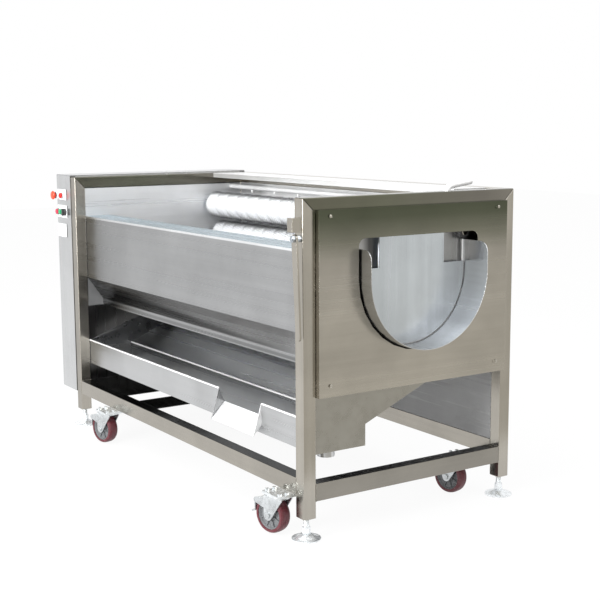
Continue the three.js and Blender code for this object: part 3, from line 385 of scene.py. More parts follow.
class Finish:
    """A material under construction: its surface shader, nodes and the machine's coordinates."""

    def __init__(self, name, colour, roughness, metallic=0.0):
        self.material = bpy.data.materials.new(name)
        self.material.use_nodes = True
        self.tree = self.material.node_tree
        self.surface = self.tree.nodes["Principled BSDF"]
        self.surface.inputs["Base Color"].default_value = colour
        self.surface.inputs["Roughness"].default_value = roughness
        self.surface.inputs["Metallic"].default_value = metallic
        self.place = self.node("TexCoord", {}).outputs["Object"]

    def wire(self, source, target):
        """Link two sockets."""
        self.tree.links.new(source, target)

    def node(self, kind, inputs, **options):
        """A new node of this material."""
        return shader_node(self.tree, kind, inputs, **options)

    def noise(self, scale, stretch=(1, 1, 1), detail=3.0):
        """Noise over the coordinates, scaled and stretched per axis, from 0 to 1."""
        scales = [scale * share for share in stretch]
        place = self.node("Mapping", {"Scale": scales, "Vector": self.place}).outputs["Vector"]
        return self.node("TexNoise", {"Scale": 1.0, "Detail": detail, "Vector": place}).outputs["Fac"]

    def spans(self, value, low, high, to_low=0.0, to_high=1.0):
        """A value carried from one span to another, held at both ends."""
        ends = {"From Min": low, "From Max": high, "To Min": to_low, "To Max": to_high}
        return self.node("MapRange", {"Value": value, **ends}).outputs["Result"]

    def along(self, axis, low, high):
        """How far a point lies from one place to another on an axis, from 0 to 1."""
        return self.spans(self.node("SeparateXYZ", {"Vector": self.place}).outputs[axis], low, high)

    def ramp(self, value, stops):
        """Colours at shares of a value, blended between them."""
        node = self.node("ValToRGB", {"Fac": value})
        elements = node.color_ramp.elements
        while len(elements) < len(stops):
            elements.new(0.5)
        for element, (share, colour) in zip(elements, sorted(stops)):
            element.position = share
            element.color = colour
        return node.outputs["Color"]

    def times(self, first, second):
        """Two colours multiplied."""
        options = {"data_type": "RGBA", "blend_type": "MULTIPLY"}
        return self.node("Mix", {"Factor": 1.0, "A": first, "B": second}, **options).outputs["Result"]

    def tip_or_front(self, reach):
        """Painted light: one at the tips of the bristles and where the roller's side faces the eye, and
        less, a painted shade, between the bristles that stand out above and below it, by the attribute
        outward."""
        outward = self.node("Attribute", {}, attribute_name="outward").outputs["Vector"]
        spaces = {"convert_from": "OBJECT", "convert_to": "WORLD"}
        way = self.node("VectorTransform", {"Vector": outward}, **spaces).outputs["Vector"]
        to_eye = self.node("NewGeometry", {}).outputs["Incoming"]
        product = self.node("VectorMath", {0: way, 1: to_eye}, operation="DOT_PRODUCT")
        front = self.spans(product.outputs["Value"], *FRONT_SPAN)
        either = {0: front, 1: self.spans(reach, *TIP_SPAN)}
        return self.node("Math", either, operation="MAXIMUM").outputs["Value"]

    def shade(self, colour):
        """Give the surface a colour that varies."""
        self.wire(colour, self.surface.inputs["Base Color"])

    def polish(self, value, low, high):
        """Give the surface a roughness between two values."""
        self.wire(self.spans(value, *NOISE_SPAN, low, high), self.surface.inputs["Roughness"])

    def relief(self, value, height, strength):
        """Raise and lower the surface by a value, at a height in metres."""
        node = self.node("Bump", {"Strength": strength, "Distance": height, "Height": value})
        self.wire(node.outputs["Normal"], self.surface.inputs["Normal"])


def grey(level):
    """A neutral colour at a linear level."""
    return (level, level, level, 1.0)


def tint(level):
    """A colour from a linear level, or from three."""
    return grey(level) if isinstance(level, float) else (*level, 1.0)


def scaled(colour, share):
    """A colour made darker or lighter by a share, with full opacity."""
    return (*[min(1.0, share * c) for c in colour[:3]], 1.0)


PREFIX = "peeler_"

# Stretch of noise that gives grain along an axis
GRAINS = {"X": (0.012, 1, 1), "Y": (1, 0.012, 1), "Z": (1, 1, 0.012)}

# Patterns: features per metre, and the heights in metres over which the castors' painted shade below
# their plates fades out
STREAKS, CLOUDS, SMEARS = 620.0, 5.5, 38.0
ZINC_PATCHES, ZINC_PITS = 90.0, 700.0
MOULD_MOTTLE, MOULD_SKIN = 60.0, 1400.0
NYLON_TUFTS = 260.0
FLOOR_MOTTLE = 3.0
PLATE_SHADE_HEIGHTS = (0.095, 0.113)

# Level of settled dust, and what the core of a brush keeps of red, green and blue under painted shade
DUST_LEVEL = 0.55
CORE_SHADE_SHARES = (0.3, 0.34, 0.4)


def steel(name, colour, grain, roughness, metallic, painted_shading):
    """Stainless sheet or tube: fine grain along one axis, clouds of polish, and painted shade and
    painted reflection along the machine's axes.
    """
    finish = Finish(name, colour, roughness, metallic)
    streaks = finish.noise(STREAKS, GRAINS[grain], detail=2.0)
    clouds = finish.noise(CLOUDS, detail=4.0)
    smears = finish.noise(SMEARS, GRAINS[grain], detail=3.0)
    tone = finish.ramp(streaks, [(0.3, scaled(colour, 0.96)), (0.7, colour)])
    tone = finish.times(tone, finish.ramp(clouds, [(0.32, grey(0.88)), (0.62, grey(1.0))]))
    tone = finish.times(tone, finish.ramp(smears, [(0.3, grey(0.94)), (0.6, grey(1.0))]))
    # Painted shade and painted reflection: the colour multiplied by levels along the machine's axes
    for axis, places in painted_shading.items():
        low, high = places[0][0], places[-1][0]
        stops = [((place - low) / (high - low), tint(level)) for place, level in places]
        tone = finish.times(tone, finish.ramp(finish.along(axis, low, high), stops))
    finish.shade(tone)
    finish.polish(smears, roughness * 0.8, roughness * 1.25)
    finish.relief(streaks, 0.01 * MM, 0.1)
    return finish.material


def zinc(name, colour, dark, metallic, low):
    """Bright zinc plating: patches of differing tone, slightly pitted, and darker below the castors'
    plates by a painted shade."""
    finish = Finish(name, colour, 0.3, metallic)
    patches = finish.noise(ZINC_PATCHES, detail=5.0)
    pits = finish.noise(ZINC_PITS, detail=2.0)
    tone = finish.ramp(patches, [(0.35, scaled(colour, dark)), (0.6, colour)])
    # Painted shade below the castors' plates
    height = finish.along("Z", *PLATE_SHADE_HEIGHTS)
    finish.shade(finish.times(tone, finish.ramp(height, [(0.0, grey(low)), (1.0, grey(1.0))])))
    finish.polish(patches, 0.2, 0.42)
    finish.relief(pits, 0.02 * MM, 0.15)
    return finish.material


def moulded(name, colour, roughness, dust):
    """Moulded plastic or rubber: faint mottling, settled dust and a fine skin."""
    finish = Finish(name, colour, roughness)
    mottle = finish.noise(MOULD_MOTTLE, detail=5.0)
    skin = finish.noise(MOULD_SKIN, detail=2.0)
    dusty = tint([c + dust * (DUST_LEVEL - c) for c in colour[:3]])
    finish.shade(finish.ramp(mottle, [(0.35, colour), (0.75, dusty)]))
    finish.polish(mottle, roughness * 0.85, min(1.0, roughness * 1.3))
    finish.relief(skin, 0.04 * MM, 0.3)
    return finish.material


def bristle_nylon(name, colour, shade_levels=()):
    """White nylon bristle, each tuft a little different, with painted shade: cooler and darker towards
    the core.

    The attribute reach is the share of the way from the core to the tips. The dense part has shade
    levels by how far its surface turns from the eye, a painted shade for the dark between its tufts.
    Free bristles have none, and get painted shade where they aren't tips and don't point at the eye."""
    finish = Finish(name, colour, 0.42)
    finish.surface.inputs["Subsurface Weight"].default_value = 0.15
    finish.surface.inputs["Subsurface Radius"].default_value = (4 * MM, 4 * MM, 5 * MM)
    finish.surface.inputs["Sheen Weight"].default_value = 0.2
    reach = finish.node("Attribute", {}, attribute_name="reach").outputs["Fac"]
    # Painted shade: cooler and darker towards the core
    core_shade = tint([c * share for c, share in zip(colour[:3], CORE_SHADE_SHARES)])
    tone = finish.ramp(reach, [(0.0, core_shade), (0.3, scaled(colour, 0.93)), (0.5, colour)])
    # Painted shade: darker where the dense part turns from the eye, and where free bristles are neither
    # tips nor point at the eye
    if shade_levels:
        shown = finish.node("LayerWeight", {}).outputs["Facing"]
    else:
        shown = finish.tip_or_front(reach)
    levels = [(share, grey(level)) for share, level in shade_levels or FREE_SHADE_LEVELS]
    tone = finish.times(tone, finish.ramp(shown, levels))
    tufts = finish.noise(NYLON_TUFTS, detail=2.0)
    finish.shade(finish.times(tone, finish.ramp(tufts, [(0.3, grey(0.95)), (0.65, grey(1.0))])))
    finish.relief(tufts, 0.4 * MM, 0.4)
    return finish.material


def mark_bristles(obj, centre, core, tip):
    """Store on every point of a brush its share of the way from core to tip, as reach, and its
    direction away from the axis, as outward."""
    points = np.empty(len(obj.data.vertices) * 3, np.float32)
    obj.data.vertices.foreach_get("co", points)
    away = points.reshape(-1, 3) - np.array([0.0, *centre])
    away[:, 0] = 0.0
    distance = np.linalg.norm(away, axis=1)
    share = obj.data.attributes.new("reach", "FLOAT", "POINT")
    share.data.foreach_set("value", ((distance - core) / (tip - core)).astype(np.float32))
    outward = obj.data.attributes.new("outward", "FLOAT_VECTOR", "POINT")
    outward.data.foreach_set("vector", (away / distance[:, None]).astype(np.float32).ravel())


# Stainless finishes: name, colour and its share, grain, roughness, share of metal, and painted shading.
# The colour is one of the scene's colours, a level or a tint. The painted shading is painted shade and
# painted reflection that the machine's surroundings would leave on it, by axis: places in metres, each
# with a level or a tint.
STEELS = (
    ("tube_x", "tube", 1.0, "X", 0.2, 1.0, {}),
    ("tube_y", "tube", 1.0, "Y", 0.2, 1.0, {}),
    # Lower rails: the tube's colour darkened, a painted shade
    ("low_x", "tube", 0.84, "X", 0.2, 1.0, {}),
    ("low_y", "tube", 0.62, "Y", 0.2, 1.0, {}),
    # Nearly black: painted dark reflection on the lower rails' top faces, and painted shade on the base
    # sheet
    ("rail_top", 0.035, 1.0, "X", 0.2, 1.0, {}),
    # Legs: painted shade near the floor and towards the top; leg_shaded is a painted shade for the left
    # front leg's front face
    ("leg", "tube", 1.0, "Z", 0.2, 1.0, {"Z": [(0.06, 0.94), (0.4, 1.0), (0.9, 0.9), (0.94, 0.82)]}),
    ("leg_shaded", "tube", 0.76, "Z", 0.2, 1.0, {}),
    # Top side rails: painted reflection, dark and greenish at the front and lighter towards the back
    ("end_rail", "tube", 1.0, "Y", 0.14, 1.0, {
        "Y": [(-0.353, (0.3, 0.31, 0.27)), (-0.1, (0.36, 0.39, 0.33)), (0.25, 0.42), (0.396, 0.52)],
    }),
    # End panel: painted reflection, darker and greenish towards the top
    ("panel", "tube", 1.0, "Y", 0.24, 1.0, {
        "Z": [
            (0.4, 1.0), (0.62, 0.97), (0.76, 0.84), (0.82, (0.44, 0.46, 0.42)),
            (0.88, (0.22, 0.25, 0.2)), (0.907, (0.19, 0.22, 0.17)),
        ],
    }),
    ("sheet", "sheet", 1.0, "X", 0.26, 1.0, {}),
    # Inner walls: painted shade, darkest low down and lighter towards the top
    ("wall", "sheet", 1.35, "Y", 0.3, 0.6, {
        "Z": [(0.457, 0.45), (0.52, 0.45), (0.64, 0.26), (0.76, 0.85), (0.8, 0.88), (0.9, 1.0)],
    }),
    # Front wall's top face: a bluish tint, a painted reflection
    ("rim", (0.42, 0.53, 0.6), 1.0, "X", 0.25, 0.9, {}),
    ("guard", 0.95, 1.0, "X", 0.16, 0.7, {}),
    # Back cover's front faces: matt white with a painted highlight band under the top guard, and
    # painted shade below it and towards the left
    ("back", 1.0, 1.0, "X", 0.25, 0.0, {
        "X": [(-0.72, 0.4), (-0.56, 0.5), (-0.5, 1.0)],
        "Z": [(0.17, 0.31), (0.5, 0.31), (0.8, 0.15), (0.835, 1.0), (0.9, 1.0)],
    }),
    # Front wall: a painted highlight along the top edge, and painted shade towards the left; lines
    # along the bottom band are slightly lighter and darker
    ("front_wall", "sheet", 1.8, "X", 0.28, 1.0, {
        "Z": [
            (0.457, 0.4), (0.461, 0.4), (0.462, 0.26), (0.471, 0.26), (0.472, 0.42), (0.479, 0.42),
            (0.568, 0.46), (0.7, 0.45), (0.787, 0.46), (0.789, 1.0), (0.795, 1.0),
        ],
        "X": [(-0.7, 0.6), (-0.3, 0.95), (0.0, 1.0)],
    }),
    # Front wall's underside: painted shade, nearly black at the left and lighter towards the right
    ("incline", 1.0, 1.0, "X", 0.28, 1.0, {
        "X": [(-0.7, 0.05), (-0.313, 0.06), (0.093, 0.27), (0.354, 0.34), (0.62, 0.33)],
    }),
    # Tray: its end face darker and warmer, a painted shade
    ("tray", "sheet", 1.1, "X", 0.3, 1.0, {
        "X": [(-0.71, 1.0), (0.8, 1.0), (0.809, (0.68, 0.65, 0.58))],
    }),
    # Tray's inside: painted shade, darker at the left end, towards the left and up the slope
    ("tray_inside", "sheet", 1.3, "X", 0.3, 1.0, {
        "X": [(-0.7125, 0.4), (-0.711, 0.6), (-0.3, 0.8), (0.2, 1.0)],
        "Z": [(0.22, 1.0), (0.3, 1.0), (0.301, 0.75), (0.4, 0.6), (0.51, 0.3)],
    }),
    ("hem", 0.82, 1.0, "X", 0.4, 0.3, {}),
    # Spray pipe: near white and mostly matt, a painted highlight like the bright band it runs along
    ("pipe", 0.96, 1.0, "X", 0.45, 0.15, {}),
    # Spout: painted shade on its cheeks
    ("spout", "sheet", 1.8, "X", 0.2, 0.6, {
        "X": [(0.279, 0.35), (0.2835, 0.35), (0.285, 1.0), (0.532, 1.0)],
    }),
    # Duct: painted shade towards the left and the front
    ("duct", "sheet", 1.4, "X", 0.22, 1.0, {
        "X": [(0.768, 0.8), (0.83, 0.8), (0.88, 1.0)],
        "Y": [(-0.17, 0.82), (0.1, 0.86), (0.2, 1.0)],
    }),
    # Gate: painted shade towards the front
    ("gate", (0.68, 0.73, 0.78), 1.0, "Z", 0.24, 1.0, {
        "Y": [(-0.18, 0.75), (-0.05, 0.92), (0.05, 1.0)],
    }),
    ("cabinet", "sheet", 1.25, "Z", 0.24, 1.0, {}),
    ("shaded", 0.27, 1.0, "Z", 0.3, 1.0, {}),
    # Right wall's +X faces: painted shade, dark near the front and at the back edge
    ("neck", 0.5, 1.0, "Z", 0.3, 1.0, {
        "Y": [(-0.125, 0.85), (-0.1, 0.2), (-0.06, 0.2), (0.15, 1.0), (0.25, 1.0), (0.262, 0.2)],
    }),
    ("weld", "tube", 0.8, "Z", 0.35, 1.0, {}),
)

# Zinc finishes: name, colour, darkest patch, share of metal, and level of the painted shade below the
# castors' plates
ZINCS = (
    ("foot", (0.9, 0.93, 0.95), 0.8, 0.75, 1.0),
    ("zinc", "zinc", 0.84, 0.9, 0.74),
    ("chain", 0.12, 0.72, 0.9, 1.0),
)

# Moulded finishes: name, colour, roughness and dust
MOULDINGS = (
    ("tyre", "tyre", 0.42, 0.06),
    ("hub", "hub", 0.5, 0.05),
    ("bearing", 0.045, 0.5, 0.12),
    ("motor", "motor", 0.45, 0.12),
    ("plate", "plate", 0.35, 0.02),
    ("stop", "stop", 0.3, 0.02),
    ("reset", "reset", 0.3, 0.02),
    ("off", "off", 0.3, 0.02),
    ("on", "on", 0.3, 0.02),
    ("selector", 0.03, 0.35, 0.02),
)

# Painted shade levels of the dense part of a brush by how far it turns from the eye, and of its free
# bristles
BRISTLE_SHADE_LEVELS = [(0.6, 1.0), (0.76, 0.35), (0.9, 0.08)]
FREE_SHADE_LEVELS = [(0.0, 0.08), (1.0, 1.0)]


def named_colour(source, share=1.0):
    """A share of one of the scene's colours, or a colour from a level or a tint."""
    if isinstance(source, str):
        return scaled(getattr(bpy.context.scene.peeler_colours, source), share)
    return tint(source)


def finishes():
    """The machine's finishes by name, made from the colours of the scene on the first call."""
    if PREFIX + STEELS[0][0] not in bpy.data.materials:
        for name, source, share, grain, roughness, metallic, painted_shading in STEELS:
            steel(PREFIX + name, named_colour(source, share), grain, roughness, metallic, painted_shading)
        for name, source, *values in ZINCS:
            zinc(PREFIX + name, named_colour(source), *values)
        for name, source, *values in MOULDINGS:
            moulded(PREFIX + name, named_colour(source), *values)
        bristle_nylon(PREFIX + "bristle", named_colour("bristle"))
        bristle_nylon(PREFIX + "bristle_body", named_colour("bristle"), BRISTLE_SHADE_LEVELS)
    return {m.name.removeprefix(PREFIX): m for m in bpy.data.materials if m.name.startswith(PREFIX)}


# Tests of faces by their centres and normals, for repainting

UPWARD = 0.3
TRAY_MIDDLE_SHARE = 0.1


def above(height):
    """Faces whose centres lie at a height or over it."""
    return lambda centre, normal: centre[:, 2] > height - FIT


def facing(axis, way, least=0.5):
    """Faces whose normals have at least a share along an axis, up it or down it."""
    return lambda centre, normal: way * normal[:, axis] > least


def beside(low, high):
    """Faces below a box, or clearly in front of it or behind it."""
    return lambda centre, normal: (
        (centre[:, 2] < low[2] - SKIN) | (centre[:, 1] < low[1] - FIT) | (centre[:, 1] > high[1] + FIT)
    )


def inside_tray(low, high):
    """Faces of a tray that look up or towards the middle of its box."""
    middle = (low + high) / 2
    least = TRAY_MIDDLE_SHARE * abs(middle - low).min()

    def test(centre, normal):
        inward = ((middle - centre) * normal)[:, :2].max(axis=1) > least
        return (normal[:, 2] > UPWARD) | (inward & (abs(normal[:, 2]) < UPWARD))

    return test


def repainted(obj, finish, test):
    """Give the faces of an object whose centres and normals pass a test another finish."""
    mesh = obj.data
    mesh.materials.append(finish)
    centres, normals = np.empty((2, len(mesh.polygons) * 3), np.float32)
    mesh.polygons.foreach_get("center", centres)
    mesh.polygons.foreach_get("normal", normals)
    slots = np.zeros(len(mesh.polygons), np.int32)
    mesh.polygons.foreach_get("material_index", slots)
    slots[test(centres.reshape(-1, 3), normals.reshape(-1, 3))] = len(mesh.materials) - 1
    mesh.polygons.foreach_set("material_index", slots)


# Tubes and sheets of the frame and trough


def long_corner(edge, low, high):
    """Whether an edge runs along one of the four long corners of a tube between two corners."""
    ends = np.array([tuple(v.co) for v in edge.verts])
    at_limit = np.all((abs(ends - low) < FIT) | (abs(ends - high) < FIT), axis=0)
    return at_limit.sum() >= 2 and abs(ends[0] - ends[1]).max() > 4 * TUBE_CORNER


def tube_copy(node, finish, low, high):
    """A tube's node with its four long corners rounded and its other edges broken.

    An edge weight of one takes the whole corner radius, and the rest a small share of it."""
    mesh = merged_mesh(node)
    with opened(mesh) as shell:
        weight = shell.edges.layers.float.new("bevel_weight_edge")
        for edge in shell.edges:
            if edge.calc_face_angle(0.0) > SHARP_ANGLE:
                edge[weight] = 1.0 if long_corner(edge, low, high) else BROKEN_EDGE_SHARE
    obj = placed(node + "_finished", mesh, finish, body_of(node), (node,))
    corner = bpy.context.scene.peeler_sizes.tube_corner
    bevelled(obj, "rounded_corners", corner, CORNER_STEPS - 2, "WEIGHT")
    return obj


def tray_hems():
    """Rolled hems along the front lip of the tray, on both sides of the spout, and along the fold
    between its slope and its gutter."""
    low, high = box("collecting_tray")
    spout = box("spout")
    lip = (low[1] + MM, spout[1][2] - MM)
    fold = (low[1] + FOLD_PLACE, low[2] + FOLD_RISE)
    forms = []
    for start, end, (y, z) in (
        (low[0], spout[0][0] - MM, lip),
        (spout[1][0] + MM, high[0], lip),
        (low[0] + MM, high[0] - MM, fold),
    ):
        path = [(start, y, z), ((start + end) / 2, y, z), (end, y, z)]
        forms.append(tube_along(path, HEM_RADIUS, 12))
    return piece("tray_hems", joined(*forms), finishes()["hem"], "frame")


def duct_bead():
    """A bright bead inside the duct behind the gate's edge: straight down both sides, and half a
    circle below, carried along its line."""
    low, high = box("discharge_duct")
    middle = (low[1] + high[1]) / 2
    outer = (high[1] - low[1]) / 2
    radius = outer - SHEET - BEAD_SEAT_SHARE * BEAD_RADIUS
    turn = np.linspace(0, math.pi, 49)
    y = np.concatenate([[middle - radius], middle - radius * np.cos(turn), [middle + radius]])
    z = np.concatenate([[high[2]], low[2] + outer - radius * np.sin(turn), [high[2]]])
    path = np.column_stack([np.full(len(y), low[0] + BEAD_PLACE), y, z])
    bead = tube_along(path, BEAD_RADIUS, 10)
    return piece("duct_bead", bead, finishes()["hem"], "frame")


def weld(name, axis, low, high, place):
    """A thin weld bead round the end of a rail, along its rounded outline. The bead's radius
    swells on a sine."""
    loop = rounded(rectangle(low, high), TUBE_CORNER)
    loop = np.concatenate([loop, loop[:2]])
    fine = np.linspace(0, len(loop) - 1, 160)
    across = np.stack([np.interp(fine, np.arange(len(loop)), side) for side in loop.T], axis=1)
    swell = 1 + WELD_SWELL * np.sin(fine * WELD_WAVES)
    path = in_axes(axis, across, np.full(len(across), place))
    return piece(name, tube_along(path, WELD_RADIUS * swell, 6), finishes()["weld"], "frame")


def screw_head(name, centre, finish):
    """A low screw head that faces +X. Its height falls off as the cosine of the share of its
    radius."""
    share = np.linspace(1, 0, 7)
    rise = SCREW_HEIGHT * np.cos(share * SCREW_SPREAD)
    seat = [[0.0, -SHEET / 4], [SCREW_RADIUS, -SHEET / 4]]
    profile = np.vstack([seat, np.column_stack([SCREW_RADIUS * share, rise])])
    return piece(name, turned("x", centre, profile, 24), finish, "frame")


# Brush rollers


def groove(angle, along, pitch):
    """Depth of the spiral groove from 0 to 1: a bell curve of how far a point lies from it, where
    the groove moves one pitch along the roller for each turn."""
    share = np.mod(along / pitch - angle / FULL_TURN, 1.0) - 0.5
    return np.exp(-((share / GROOVE_SHARE) ** 2))


def round_shaft(centre, x, radius, angle):
    """Points at a place along a roller, a radius and an angle, one in each row."""
    places = [x, centre[0] + radius * np.cos(angle), centre[1] + radius * np.sin(angle)]
    return np.stack(places, axis=-1).reshape(-1, 3)


def brush_body(centre, ends, core, tip, pitch, rounds, lengths):
    """The dense lower part of the bristles: the point (u, v) lies at the angle u and the length v,
    at the tip radius less the spiral groove and the free length of the bristles, give or take a
    product of sines."""
    angle = np.arange(rounds) / rounds * FULL_TURN
    along = np.linspace(ends[0], ends[1], lengths)
    a, x = np.meshgrid(angle, along, indexing="ij")
    radius = tip - FREE_BRISTLE - BODY_GROOVE_SHARE * GROOVE_DEPTH * groove(a, x - ends[0], pitch)
    ripple = DENSE_UNEVEN
    for around, lengthwise in DENSE_WAVES:
        ripple = ripple * np.sin(a * around + x * lengthwise)
    radius += ripple
    radius[:, 0] = radius[:, -1] = core
    radius[:, 1] -= FREE_BRISTLE / 4
    radius[:, -2] -= FREE_BRISTLE / 4
    caps = [[i * lengths + end for i in range(rounds)] for end in (0, lengths - 1)]
    return round_shaft(centre, x, radius, a), grid_faces(rounds, lengths, close_rows=True) + caps


def bristles(centre, ends, core, tip, pitch, strands, seed):
    """Bristle tufts of thin pyramids that splay.

    Tuft (i, k) stands at the angle i and the length k, both shifted a little along the spiral. Its
    strands reach the tip radius less the spiral groove and a small random share."""
    rng = np.random.default_rng(seed)
    rows = int((ends[1] - ends[0]) / TUFT_PITCH)
    counts = [np.arange(n) for n in (TUFTS_AROUND, rows, strands)]
    i, k, strand = (part.ravel() for part in np.meshgrid(*counts, indexing="ij"))
    count = len(i)
    angle = (i + 0.25 * (k % 4)) / TUFTS_AROUND * FULL_TURN
    along = ends[0] + (k + i / TUFTS_AROUND) * (ends[1] - ends[0]) / (rows + 1)
    reach = tip - GROOVE_DEPTH * groove(angle, along - ends[0], pitch)
    reach = reach - rng.random(count) * BRISTLE_UNEVEN
    foot = np.maximum(reach - FREE_ROOT_SHARE * FREE_BRISTLE, core)
    splay = (strand / strands + rng.random(count)) * FULL_TURN
    out = np.stack([np.cos(splay), np.sin(splay)])
    corner = splay[:, None] + np.arange(3) / 3 * FULL_TURN
    base = TUFT_HALF * out[:, :, None] + BRISTLE_HALF * np.stack([np.cos(corner), np.sin(corner)])
    lean = TUFT_SPLAY * out + rng.normal(0, BRISTLE_LEAN, (2, count))
    base_x = along[:, None] + base[0]
    base_angle = angle[:, None] + base[1] / foot[:, None]
    tip_x = (along + lean[0])[:, None]
    tip_angle = (angle + lean[1] / reach)[:, None]
    x = np.clip(np.concatenate([base_x, tip_x], axis=1), *ends)
    a = np.concatenate([base_angle, tip_angle], axis=1)
    radius = np.concatenate([np.repeat(foot[:, None], 3, axis=1), reach[:, None]], axis=1)
    first = 4 * np.arange(count)[:, None]
    faces = [first + np.array(f) for f in ((0, 1, 3), (1, 2, 3), (2, 0, 3), (2, 1, 0))]
    return round_shaft(centre, x, radius, a), np.concatenate(faces).tolist()


def brush(node, centre, body, grid, strands, seed):
    """One brush: the dense part and the free bristles, as two pieces that stand for its node."""
    low, high = box(node)
    tip = (high[2] - low[2]) / 2
    ends = (box("brush_1")[0][0], box("brush_1")[1][0])
    pitch = bpy.context.scene.peeler_sizes.spiral_pitch
    body_form = brush_body(centre, ends, CORE_RADIUS, tip, pitch, *grid)
    free_form = bristles(centre, ends, CORE_RADIUS, tip - SKIN, pitch, strands, seed)
    for part, form, finish, dense in (
        ("_dense", body_form, finishes()["bristle_body"], True),
        ("_free", free_form, finishes()["bristle"], False),
    ):
        obj = piece(node + part, form, finish, body, (node,), smooth=dense, closed=dense)
        mark_bristles(obj, centre, CORE_RADIUS, tip)


def roller_shaft(name, node, centre, body, replaces):
    """A shaft with chamfered ends and its toothed sprocket.

    The sprocket's outline swings between two radii on a cosine of the angle times its teeth."""
    low, high = box("roller_shaft_1")
    chamfer = SHAFT_RADIUS / 8
    middle = (0.0, centre[0], centre[1])
    profile = [
        (0, low[0]), (SHAFT_RADIUS - chamfer, low[0]), (SHAFT_RADIUS, low[0] + chamfer),
        (SHAFT_RADIUS, high[0] - chamfer), (SHAFT_RADIUS - chamfer, high[0]), (0, high[0]),
    ]
    chain = box("drive_chain")
    angle = np.linspace(0, FULL_TURN, 12 * SPROCKET_TEETH, endpoint=False)
    radius = SPROCKET_RADIUS - TOOTH_DEPTH / 2 * (1 + np.cos(angle * SPROCKET_TEETH))
    outline = round_shaft(centre, 0 * angle, radius, angle)[:, 1:]
    form = joined(
        turned("x", middle, profile, 32),
        prism("x", outline, chain[0][0] + SKIN, chain[1][0] - SKIN),
    )
    return piece(name, form, finishes()["tube_x"], body, replaces)


# Castors and feet


def on_axle(form, joint):
    """A form made about a level axle at the origin, turned and moved to a joint's own axis.

    Each point is turned about the upright through the angle from +Y to the joint's axis."""
    points, faces = form
    way = Vector(joint["axis"])
    turn = Matrix.Rotation(math.atan2(-way.x, way.y), 3, "Z")
    return points @ np.array(turn).T + np.array(joint["pos_m"]), faces


def castor_wheel(node, joint):
    """A wheel: a crowned tyre with a moulded seam, round a webbed hub with a steel bush.

    Each part is a profile of radius and width turned about the axle."""
    low, high = box(node)
    radius = (high[2] - low[2]) / 2
    rim = radius - TREAD_DEPTH
    half = TREAD_HALF
    share = np.linspace(-1, 1, 25)
    crown = radius - TREAD_CROWN * abs(share) ** 4 + 0.25 * MM * (abs(share) < 0.06)
    tyre = [(rim - SKIN, half), *zip(crown[::-1], half * share[::-1]), (rim - SKIN, -half)]
    centre = (0.0, 0.0, 0.0)
    web, bush = HUB_WEB_HALF, HUB_BUSH_RADIUS
    side = [
        (AXLE_BORE, half + MM), (bush, half + MM), (bush + MM, half), (bush + 2 * MM, web + 2 * MM),
        (bush + 4 * MM, web), (rim - 9 * MM, web), (rim - 6 * MM, web + MM),
        (rim - 3 * MM, half - 3 * MM), (rim - 2 * MM, half - 2 * MM), (rim, half - 2 * MM),
    ]
    hub = side + [(r, -h) for r, h in reversed(side)]
    ribs = []
    for k in range(HUB_RIBS):
        angle = (k + 0.5) / HUB_RIBS * FULL_TURN
        across = np.array([[np.cos(angle), np.sin(angle)], [-np.sin(angle), np.cos(angle)]])
        outline = rounded(rectangle((bush, -1.5 * MM), (rim - 4 * MM, 1.5 * MM)), MM) @ across
        ribs.append(prism("y", outline, -half + 5 * MM, half - 5 * MM))
    body = body_of(node)
    made = finishes()
    for part, form, finish, replaced, slot in (
        ("_tyre", turned("y", centre, tyre, 72), "tyre", (node,), "castor_tyre"),
        ("_hub", turned("y", centre, hub, 72), "hub", (node,), "zinc_steel"),
        ("_ribs", joined(*ribs), "hub", (), "zinc_steel"),
    ):
        piece(node + part, on_axle(form, joint), made[finish], body, replaced)


def axle_nut(node, joint):
    """A hexagon nut on a raised washer face, on both cheeks of a fork."""
    wide, flat, top = AXLE_NUT_RADIUS, 0.9 * AXLE_NUT_RADIUS, 0.78 * AXLE_NUT_RADIUS
    forms = []
    for side in (-1, 1):
        start = side * AXLE_NUT_START
        end = start + side * AXLE_NUT_HEIGHT
        under, over = start - side * MM, start + side * 0.6 * MM
        face = [(0, under), (wide, under), (wide, over), (0, over)]
        nut = [(0, start), (flat, start), (flat, end - side * 0.9 * MM), (top, end), (0, end)]
        forms += [turned("y", (0, 0, 0), face, 32), turned("y", (0, 0, 0), nut, 6)]
    form = on_axle(joined(*forms), joint)
    return piece(node + "_nuts", form, finishes()["zinc"], body_of(node))


